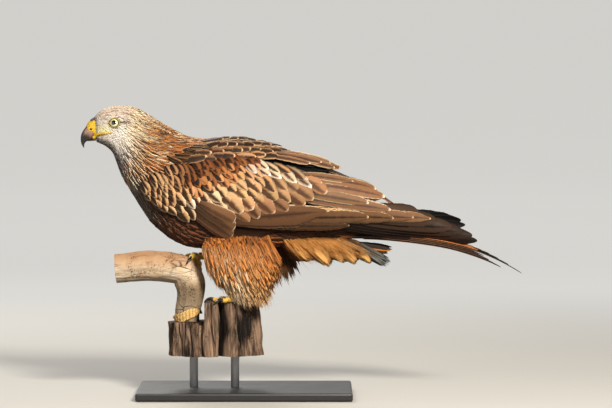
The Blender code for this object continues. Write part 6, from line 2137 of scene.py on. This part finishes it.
@dataclass
class Bill:
    """The cere with its nostrils, the hooked upper bill and the lower bill."""

    stations: Array = field(default_factory=lambda: MM * np.array([
        (-209.2, 390.6, -206.8, 361.6, 8.6), (-216.3, 386.0, -210.6, 361.2, 7.4), (-220.4, 380.8, -212.8, 360.0, 6.6),
        (-223.4, 375.6, -215.6, 358.8, 5.8), (-227.0, 370.6, -219.2, 357.6, 4.7), (-229.4, 364.6, -222.2, 356.4, 3.5),
        (-229.8, 357.7, -224.4, 353.8, 2.3), (-228.4, 352.0, -225.2, 350.8, 1.3), (-225.6, 347.6, -225.0, 347.9, 0.4),
    ]))
    lower: Array = field(default_factory=lambda: MM * np.array([
        (-206.0, 362.8, -206.0, 357.0, 6.6), (-208.55, 362.6, -208.2, 357.4, 6.0), (-214.0, 360.6, -213.6, 357.0, 4.6),
        (-218.4, 359.0, -218.2, 356.8, 3.2), (-221.4, 357.8, -221.2, 356.8, 1.2),
    ]))
    horn_from: float = 2.45
    horn_sweep: float = 1.65

    def build(self, horn: bpy.types.Material, skin: bpy.types.Material, dark: bpy.types.Material) -> None:
        """Builds the three parts, and dark slits that stand in for the shade inside the nostrils."""
        turn = np.linspace(0, 2 * np.pi, 72, endpoint=False)[None, :]
        off_ridge = np.degrees(np.minimum(turn, 2 * np.pi - turn))
        start = self.horn_from - self.horn_sweep * ease(off_ridge, 62, 122)
        place = np.linspace(0, 2.9, 44)[:, None]
        lift = MM * (0.35 - 1.0 * ease(place - start, -0.16, 0.1))
        rings = section_point(self.stations, place + 0 * turn, turn + 0 * place, lift)
        nostril = np.array((-214.8, 0, 373.6)) * MM
        away = np.hypot((rings[..., 0] - nostril[0]) * 0.8 + (rings[..., 2] - nostril[2]) * 0.35,
                        (rings[..., 2] - nostril[2]) * 1.6 - (rings[..., 0] - nostril[0]) * 0.5)
        dent = np.exp(-(away / (1.6 * MM)) ** 2) * (np.abs(rings[..., 1]) > 3 * MM)
        rings[..., 1] -= np.sign(rings[..., 1]) * dent * 1.3 * MM
        loft_mesh("cere_skin", rings, skin, replaces=["cere"])
        share = np.linspace(0, 1, 72)[:, None]
        place = start * (1 - share) + (len(self.stations) - 1) * share
        edge = 0.35 * MM * np.exp(-((np.radians(180 - off_ridge) / 0.5) ** 2))
        lip = 0.25 * MM * np.exp(-(share / 0.03) ** 2)
        rings = section_point(self.stations, place, turn + 0 * place, -0.05 * MM + edge - lip)
        loft_mesh("upper_bill_horn", rings, horn, replaces=["bill_upper"])
        place = np.linspace(0, len(self.lower) - 1, 40)[:, None]
        rings = section_point(self.lower, place + 0 * turn, turn + 0 * place)
        loft_mesh("lower_bill_horn", rings, horn, replaces=["bill_lower"])
        # Painted shade: the nostrils are dark tubes set in the cere's dents.
        for side in (LEFT, RIGHT):
            path = np.array([(-216.4, 374.8), (-214.8, 373.6), (-213.5, 372.2)]) * MM
            path = through(path, np.linspace(0, 2, 9))
            place = np.column_stack([path[:, 0], np.full(9, side * 6.3 * MM), path[:, 1]])
            radii = 1.5 * MM * np.sin(np.linspace(0.35, np.pi - 0.35, 9))
            rings = tube_rings(place, radii, 12, np.array((0.0, 1.0, 0.0)))
            loft_mesh(f"nostril_{SIDE_NAMES[side]}", rings, dark)
        for side in (LEFT, RIGHT):
            self.gape(side, skin)

    @staticmethod
    def gape(side: int, skin: bpy.types.Material) -> None:
        """The yellow fold of bare skin from the bill's corner back under the eye."""
        bends = np.array([(-212.6, 360.9), (-209.6, 363.4), (-205.4, 366.2), (-199.6, 367.5), (-192, 368.0), (-184.4, 368.8)])
        line = through(bends, np.linspace(0, 5, 40))
        chart = BodyChart()
        places, turns = np.meshgrid(np.linspace(0, 5, 160), np.linspace(0, np.pi, 160), indexing="ij")
        points = chart.point(places, turns).reshape(-1, 3)
        out = np.array([points[np.argmin((points[:, 0] - a * MM) ** 2 + (points[:, 2] - b * MM) ** 2), 1] for a, b in line])
        out = np.convolve(np.pad(out, 3, mode="edge"), np.ones(7) / 7, mode="valid")
        path = np.column_stack([line[:, 0] * MM, side * (out + 0.75 * MM), line[:, 1] * MM])
        radii = MM * np.interp(np.linspace(0, 1, 40), (0, 0.12, 0.4, 1), (1.2, 2.3, 1.9, 0.8))
        loft_mesh(f"gape_{SIDE_NAMES[side]}", tube_rings(path, radii, 12, np.array((0, 0, 1.0))), skin)


BRANCH_STATIONS = MM * np.array([
    (-182, 178, 20.5), (-158, 180, 21), (-132, 181.5, 21.8), (-106, 179, 21.8), (-86, 173, 21.5), (-77, 156, 21),
    (-78, 134, 18.5), (-81, 118, 17.5), (-81.5, 104.4, 17.5),
])


class Floor(Enum):
    """What a foot stands on."""

    POST = "post"
    BRANCH = "branch"


@dataclass
class Foot:
    """A scaled lower leg, its toes and their claws."""

    side: int
    heel: tuple[float, float, float]
    foot: tuple[float, float, float]
    toe_turns: tuple[float, ...]
    toe_lengths: tuple[float, ...]
    floor: Floor
    post_top: float = 133 * MM
    elbow: tuple[float, float] = (-82 * MM, 174 * MM)
    elbow_radius: float = 21.6 * MM
    branch_y: float = 10 * MM

    def seat(self, x: float, y: float, radius: float) -> tuple[float, float, float]:
        """Where a toe lies on the branch: it wraps round the sides and bends down past the elbow."""
        girth = self.elbow_radius + radius * 0.86
        off_side = (y - self.branch_y) / girth
        off_end = max(0.0, x - self.elbow[0]) / girth
        swing = math.hypot(off_side, off_end)
        reach = girth * (math.sin(swing) / swing if swing else 1.0)
        rows = BRANCH_STATIONS[:5]
        height = float(np.interp(x, rows[:, 0], rows[:, 1] + rows[:, 2]))
        middle = self.elbow if off_end else (x, height - self.elbow_radius)
        return middle[0] + reach * off_end, self.branch_y + reach * off_side, middle[1] + girth * math.cos(swing)

    def toe_path(self, number: int, count: int = 60) -> tuple[Array, Array]:
        """The middle line of a toe and its radii, from the foot's middle to the claw's root."""
        turn, length = math.radians(self.toe_turns[number]), self.toe_lengths[number] * MM
        share = np.linspace(0, 1, count)
        radii = MM * (4.4 - 1.2 * share + 0.35 * np.cos(share * 6 * np.pi))
        x = self.foot[0] * MM - math.cos(turn) * length * share
        y = self.foot[1] * MM + math.sin(turn) * length * share
        if self.floor is Floor.POST:
            z = self.post_top + radii * 0.86 + 2.2 * MM * np.sin(np.pi * share) * (1 - share)
            return np.stack([x, y, z], axis=-1), radii
        return np.array([self.seat(a, b, r) for a, b, r in zip(x, y, radii, strict=True)]), radii

    def away(self, place: Array) -> Array:
        """The way straight out of the perch."""
        if self.floor is Floor.POST:
            return np.array((0.0, 0.0, 1.0))
        rows = through(BRANCH_STATIONS, np.linspace(0, 6, 61))
        middles = np.column_stack([rows[:, 0], np.full(len(rows), self.branch_y), rows[:, 1]])
        return unit(place - middles[np.argmin(np.linalg.norm(middles - place, axis=1))])

    @staticmethod
    def scuted(radii: Array, length: float, sides: int, pitch: float) -> Array:
        """Radii with overlapping plates over the top and small pads below."""
        turn = np.linspace(0, 2 * np.pi, sides, endpoint=False)[None, :]
        share = np.linspace(0, 1, len(radii))[:, None]
        top = np.clip(np.cos(turn), 0, 1) ** 0.6
        step = (share * length / pitch) % 1.0
        below = np.clip(-np.cos(turn), 0, 1)
        pads = 0.10 * below * np.sin(share * length / pitch * 2.2)
        return radii[:, None] * (1 + 0.13 * top * (step**2 - 0.3) + pads)

    def build(self, skin: bpy.types.Material, horn: bpy.types.Material) -> None:
        """Builds the leg, four toes and four claws."""
        name = SIDE_NAMES[self.side]
        heel, foot = np.array(self.heel) * MM, np.array(self.foot) * MM
        share = np.linspace(-0.25, 1, 90)[:, None]
        path = heel * (1 - share) + foot * share
        radii = 4.6 * MM * np.interp(share[:, 0], np.linspace(0, 1, 5), (1.25, 1.0, 0.92, 0.97, 1.15))
        length = float(np.linalg.norm(foot - heel))
        front = np.array((-1.0, 0.0, 0.3))
        rings = tube_rings(path, self.scuted(radii, length, 28, 3.2 * MM), 28, front)
        loft_mesh(f"lower_leg_{name}", rings, skin, replaces=[f"foot_{name}"])
        for number, toe_name in enumerate(TOE_NAMES):
            path, radii = self.toe_path(number)
            out = self.away(path[-1])
            start = path[0] * 0.999 + path[1] * 0.001
            path[0] = start
            radii = self.scuted(radii, self.toe_lengths[number] * MM, 28, 2.6 * MM)
            radii = radii * np.sqrt(np.clip(1 - (np.linspace(0, 1, len(path)) - 0.06) ** 14, 0.25, 1))[:, None]
            rings = tube_rings(path, radii, 28, out)
            loft_mesh(f"toe_{name}_{toe_name}", rings, skin)
            ahead = unit(path[-1] - path[-2])
            angle = np.radians(np.interp(np.linspace(0, 1, 39), np.linspace(0, 1, 4), (28, -2, -32, -62)))
            start = path[-1] - ahead * 1.2 * MM
            steps = (ahead * np.cos(angle)[:, None] + out * np.sin(angle)[:, None]) * 16.6 * MM / 39
            places = np.concatenate([start[None], start + np.cumsum(steps, axis=0)])
            share = np.linspace(0, 1, 40)
            radii = 2.35 * MM * np.interp(share, (0, 0.3, 0.55, 0.8, 1.0), (1.0, 0.93, 0.74, 0.44, 0.06))
            turn = np.linspace(0, 2 * np.pi, 20, endpoint=False)[None, :]
            radii = radii[:, None] * (1 + 0.12 * np.cos(2 * turn))
            rings = tube_rings(places, radii, 20, out)
            loft_mesh(f"claw_horn_{name}_{toe_name}", rings, horn, replaces=[f"claw_{name}_{toe_name}"])


@dataclass
class Perch:
    """The dead branch, the charred post that it is tied to, and the rope round them."""

    post_top: float = 133 * MM
    post_bottom: float = 57 * MM
    step_height: float = 104 * MM
    step_edge: float = -55 * MM
    centre: tuple[float, float] = (-45 * MM, -1 * MM)
    half: tuple[float, float] = (63 * MM, 37 * MM)
    branch_y: float = 10 * MM

    def build_branch(self, finish: bpy.types.Material) -> None:
        """The branch: a loft with long ridges, a swollen elbow and pits."""
        place = np.linspace(0, len(BRANCH_STATIONS) - 1, 240)
        rows = through(BRANCH_STATIONS, place)
        path = np.column_stack([rows[:, 0], np.full(len(rows), self.branch_y), rows[:, 1]])
        sides = 120
        turn = np.linspace(0, 2 * np.pi, sides, endpoint=False)[None, :]
        along = np.concatenate([[0], np.cumsum(np.linalg.norm(np.diff(path, axis=0), axis=1))])[:, None]
        relief = ripples(turn, along, 5, (
            (2, 20, 0.5), (3, -35, 0.4), (5, 48, 0.3), (8, -25, 0.22), (13, 40, 0.18), (21, -30, 0.13),
            (34, 55, 0.10), (1, 130, 0.22), (4, 170, 0.14), (9, 260, 0.08), (44, 90, 0.07), (16, 420, 0.05),
        ))
        knot = np.exp(-(((turn - 4.3) / 0.35) ** 2) - ((along - 0.118) / 0.012) ** 2) * 1.6
        radii = rows[:, 2:3] + MM * (relief + knot - 0.4)
        loft_mesh("branch_wood", tube_rings(path, radii, sides, np.array((0.0, 1.0, 0.0))), finish,
                  replaces=["perch_branch"])

    def outline(self, height: Array, angle: Array) -> Array:
        """The post's reach at a height and an angle, with its grooves and cracks."""
        share = (self.post_top - height) / (self.post_top - self.post_bottom)
        waves = 0.05 * np.sin(3 * angle + 0.8) + 0.035 * np.sin(7 * angle + 2.1 * share) + 0.02 * np.sin(11 * angle)
        fine = ripples(angle, height, 9, ((17, 9, 0.011), (29, -14, 0.011), (43, 12, 0.010), (67, -20, 0.008),
                                          (101, 16, 0.006), (6, 60, 0.008), (15, 130, 0.006), (140, 40, 0.004),
                                          (24, 210, 0.005), (52, 160, 0.005)))
        cracks = 0.0
        for degrees, depth, width, bend in ((-74, 0.50, 0.10, 0.05), (-104, 0.22, 0.045, -0.04), (18, 0.2, 0.05, 0.03),
                                            (-140, 0.16, 0.03, 0.05), (-90, 0.12, 0.02, 0.03), (-35, 0.16, 0.03, -0.05),
                                            (-122, 0.18, 0.03, 0.06), (-52, 0.14, 0.02, 0.04), (-20, 0.12, 0.02, 0.03),
                                            (80, 0.15, 0.04, 0.03), (140, 0.15, 0.04, -0.03)):
            middle = math.radians(degrees) + bend * np.sin(height * 60 + degrees)
            gap = (angle - middle + np.pi) % (2 * np.pi) - np.pi
            cracks = cracks + depth * np.exp(-((gap / width) ** 2))
        return 0.94 + 0.08 * share + waves + fine - cracks

    def build_post(self, finish: bpy.types.Material) -> None:
        """The post: an outline that changes with height, cut down to a step on its left."""
        sides = 360
        angle = np.linspace(0, 2 * np.pi, sides, endpoint=False)
        levels = [*np.linspace(self.post_bottom, self.step_height, 46)]
        rings = []
        for number, level in enumerate([*levels, *np.linspace(self.step_height, self.post_top, 34)]):
            reach = self.outline(np.array(level), angle)
            share = (self.post_top - level) / (self.post_top - self.post_bottom)
            x = self.centre[0] + 2.5 * MM * (share - 0.5) + reach * self.half[0] * np.cos(angle)
            y = self.centre[1] + reach * self.half[1] * np.sin(angle)
            if number >= len(levels):
                rough = 0.7 * MM * np.sin(y * 900 + level * 40) + 0.5 * MM * np.sin(y * 2300 - level * 90)
                x = np.maximum(x, self.step_edge + rough)
            z = np.full(sides, level)
            rings.append(np.column_stack([x, y, z]))
        middle = np.array([rings[-1][:, 0].mean(), self.centre[1]])
        for share in (0.9, 0.75, 0.55, 0.35, 0.15):
            flat = rings[-1].copy() if share == 0.9 else outer.copy()
            outer = flat if share == 0.9 else outer
            inner = np.column_stack([middle + (outer[:, :2] - middle) * share, np.full(sides, self.post_top)])
            inner[:, 2] += 0.35 * MM * np.sin(inner[:, 1] * 1500 + inner[:, 0] * 300) * (1 if share < 0.9 else 0)
            rings.append(inner)
        loft_mesh("post_wood", np.array(rings), finish, replaces=["perch_post"])

    def build_binding(self, finish: bpy.types.Material) -> None:
        """Seven turns of rope round the branch's foot, askew, each twisted from two strands."""
        low, high = 106 * MM, 120 * MM
        tilt = math.radians(-24)
        axis = np.array((math.sin(tilt), 0, math.cos(tilt)))
        ahead = np.array((math.cos(tilt), 0, -math.sin(tilt)))
        middle = np.array((-81 * MM, self.branch_y, (low + high) / 2))
        turns, count = 7, 7 * 120
        share = np.linspace(0, 1, count)
        angle = share * turns * 2 * np.pi
        radius = 18.9 * MM + 0.25 * MM * np.sin(angle * 1.7)
        rise = (share - 0.5) * (high - low - 2.2 * MM) + 0.25 * MM * np.sin(angle * 2.3)
        path = (middle + axis * rise[:, None] + ahead * (radius * np.cos(angle))[:, None]
                + np.array((0, 1, 0)) * (radius * np.sin(angle))[:, None])
        sides = 14
        around = np.linspace(0, 2 * np.pi, sides, endpoint=False)[None, :]
        along = (share * turns * 2 * np.pi * 19)[:, None]
        radii = 1.25 * MM * (1 + 0.2 * np.cos(2 * around - along * 0.9))
        maps = np.stack([np.broadcast_to(np.abs(around) / (2 * np.pi), (count, sides)),
                         np.broadcast_to(share[:, None] * 7, (count, sides))], axis=-1)
        loft_mesh("rope_binding", tube_rings(path, radii, sides, axis), finish, maps, ["perch_binding"])


@dataclass
class Studio:
    """Camera, soft lights, floor and world."""

    distance: float = 4.76
    elevation: float = 2.5
    aim: tuple[float, float, float] = (0.0854, 0.0, 0.2688)

    def camera(self) -> None:
        """A long lens square to the bird's left side, a little above its middle."""
        data = bpy.data.cameras.new("camera")
        data.lens, data.sensor_width = 200, 36
        camera = bpy.data.objects.new("camera", data)
        rise = math.radians(self.elevation)
        way = Vector((0, -math.cos(rise), math.sin(rise)))
        camera.location = Vector(self.aim) + way * self.distance
        camera.rotation_euler = (-way).to_track_quat("-Z", "Y").to_euler()
        bpy.context.scene.collection.objects.link(camera)
        bpy.context.scene.camera = camera

    @staticmethod
    def area(name: str, place: tuple[float, float, float], aim: tuple[float, float, float], size: float, power: float,
             colour: tuple[float, float, float]) -> None:
        """One soft light."""
        data = bpy.data.lights.new(name, "AREA")
        data.shape, data.size, data.energy, data.color = "DISK", size, power, colour
        light = bpy.data.objects.new(name, data)
        light.location = place
        light.rotation_euler = (Vector(aim) - Vector(place)).to_track_quat("-Z", "Y").to_euler()
        bpy.context.scene.collection.objects.link(light)

    def build(self) -> None:
        """Sets everything up."""
        self.camera()
        bpy.context.scene.view_settings.view_transform = "Standard"
        middle = (0.03, 0.0, 0.24)
        self.area("key", (0.85, -2.1, 1.5), middle, 0.55, 90, (1.0, 0.94, 0.84))
        self.area("fill", (-1.5, -1.6, 0.9), middle, 1.6, 6.0, (1.0, 0.95, 0.88))
        self.area("back", (-0.6, 1.8, 1.5), middle, 1.2, 24, (1.0, 0.97, 0.93))
        world = bpy.data.worlds.new("studio")
        world.use_nodes = True
        world.node_tree.nodes["Background"].inputs["Color"].default_value = (0.9, 0.9, 0.92, 1)
        world.node_tree.nodes["Background"].inputs["Strength"].default_value = 0.2
        bpy.context.scene.world = world
        rows = through(np.array([(0.02, 0), (1.5, 0), (3.5, 0), (5.4, 0), (6.5, 0.12), (7.2, 0.6), (7.5, 1.5), (7.6, 3.0)]),
                       np.linspace(0, 7, 57))
        turn = np.linspace(0, 2 * np.pi, 96, endpoint=False)[None, :]
        rings = np.stack([rows[:, :1] * np.cos(turn), rows[:, :1] * np.sin(turn), rows[:, 1:] + 0 * turn], axis=-1)
        points, faces = Skin.loft(rings)
        faces = faces[:-1]
        mesh = bpy.data.meshes.new("studio_floor")
        mesh.from_pydata(points.tolist(), [], faces)
        mesh.shade_smooth()
        mesh.materials.append(FloorFinish().make())
        floor = bpy.data.objects.new("studio_floor", mesh)
        floor.visible_diffuse = False
        bpy.context.scene.collection.objects.link(floor)
        floor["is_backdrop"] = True


def write_box(sizes: dict, name: str) -> None:
    """Notes the frame's present bounds under a name."""
    sizes[name] = [[float(x) for x in corner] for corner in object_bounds()]


def main() -> None:
    """Loads the frame, dresses it and notes the sizes before and after."""
    logging.basicConfig(level=logging.INFO, format="%(name)s %(message)s")
    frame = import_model()
    sizes: dict = {}
    write_box(sizes, "cad")
    colours = Plumage()
    soft = FeatherFinish("soft feathers", softness=0.1, barb_depth=0.3).make()
    fine = FeatherFinish("head feathers", softness=0.1, barb_depth=0.3, root_shade=0.86).make()
    silky = FeatherFinish("silky feathers", softness=0.12, barb_depth=0.3, root_shade=0.84, shaft=0.05, silk=1.0,
                          contrast=0.75).make()
    vaned = FeatherFinish("vaned feathers", rough=0.55, softness=0.16, lean=0.09).make()
    long = FeatherFinish("long feathers", rough=0.48, barb_depth=0.25).make()
    skin = Skin().build(SkinFinish(), colours)
    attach(skin, BODY)
    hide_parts("head", "neck", "torso", "tail", "wing_left", "wing_right", "thigh_left", "thigh_right")
    body = BodyFeathers()
    coats = [body.build_head(fine, colours), body.build_body(soft, colours), body.build_mantle(vaned, colours),
             TailFeathers().build(long), Undertail().build(silky)]
    for side in (LEFT, RIGHT):
        wing = WingFeathers(side)
        coats += [wing.build_quills(long), wing.build_coverts(vaned, colours), Trousers(side).build(silky)]
    for coat in coats:
        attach(coat, BODY)
    horn = HornFinish("bill horn").make()
    claws = HornFinish("claw horn", root=(54, 48, 46), point=(10, 10, 12), ridge=0.0, rough=0.22).make()
    yellow = ScaleFinish("cere", light=(255, 216, 44), deep=(240, 170, 22), scale=1500).make()
    feet = ScaleFinish("foot scales", light=(250, 208, 84), deep=(206, 150, 44), scale=620).make()
    lid = ScaleFinish("eyelids", light=(52, 42, 26), deep=(24, 19, 14), scale=1600).make()
    ring = ScaleFinish("eye rings", light=(214, 188, 92), deep=(128, 104, 48), scale=1600).make()
    dark = PaintFinish("nostril shade", (48, 26, 9), 0.8).make()
    eye = EyeFinish(pupil=0.335, iris=0.63).make()
    Bill().build(horn, yellow, dark)
    for side in (LEFT, RIGHT):
        Eye(side).build(eye, lid, ring)
    Foot(LEFT, (11, -28, 178), (-7, -22, 138.5), (2, 38, -34, 172), (37, 29, 29, 22), Floor.POST).build(feet, claws)
    Foot(RIGHT, (-14, 31, 190), (-66, 25, 195), (6, -72, 60, 128), (38, 32, 34, 25), Floor.BRANCH).build(feet, claws)
    perch = Perch()
    perch.build_branch(WoodFinish("weathered branch", (246, 228, 200), (210, 176, 136), (104, 76, 54), (0.25, 1, 1),
                                  bareness=0.6, crack=0.5, above=(178, 124, 78), above_from=181 * MM,
                                  below=(120, 98, 72), painted_shade_from=163 * MM, speckle=0.9,
                                  cut=(-182 * MM, 10 * MM, 178 * MM)).make())
    perch.build_post(WoodFinish("charred post", (182, 148, 120), (62, 46, 37), (9, 7, 6), (1, 1, 0.12), char=0.95,
                                bare=(180, 116, 78), bareness=0.34, crack=1.0, speckle=0.8, split_width=0.13,
                                core=(*perch.centre, *perch.half, perch.post_top)).make())
    perch.build_binding(TwineFinish().make())
    stand = PaintFinish("stand paint", (38, 37, 38), 0.42).make()
    steel = PaintFinish("stand rods", (120, 120, 122), 0.32, 1.0).make()
    for name, finish in (("stand_base", stand), ("stand_rod_1", steel), ("stand_rod_2", steel)):
        frame["nodes"][name].material_slots[0].material = finish
    Studio().build()
    write_box(sizes, "visual")


if __name__ == "__main__":
    main()
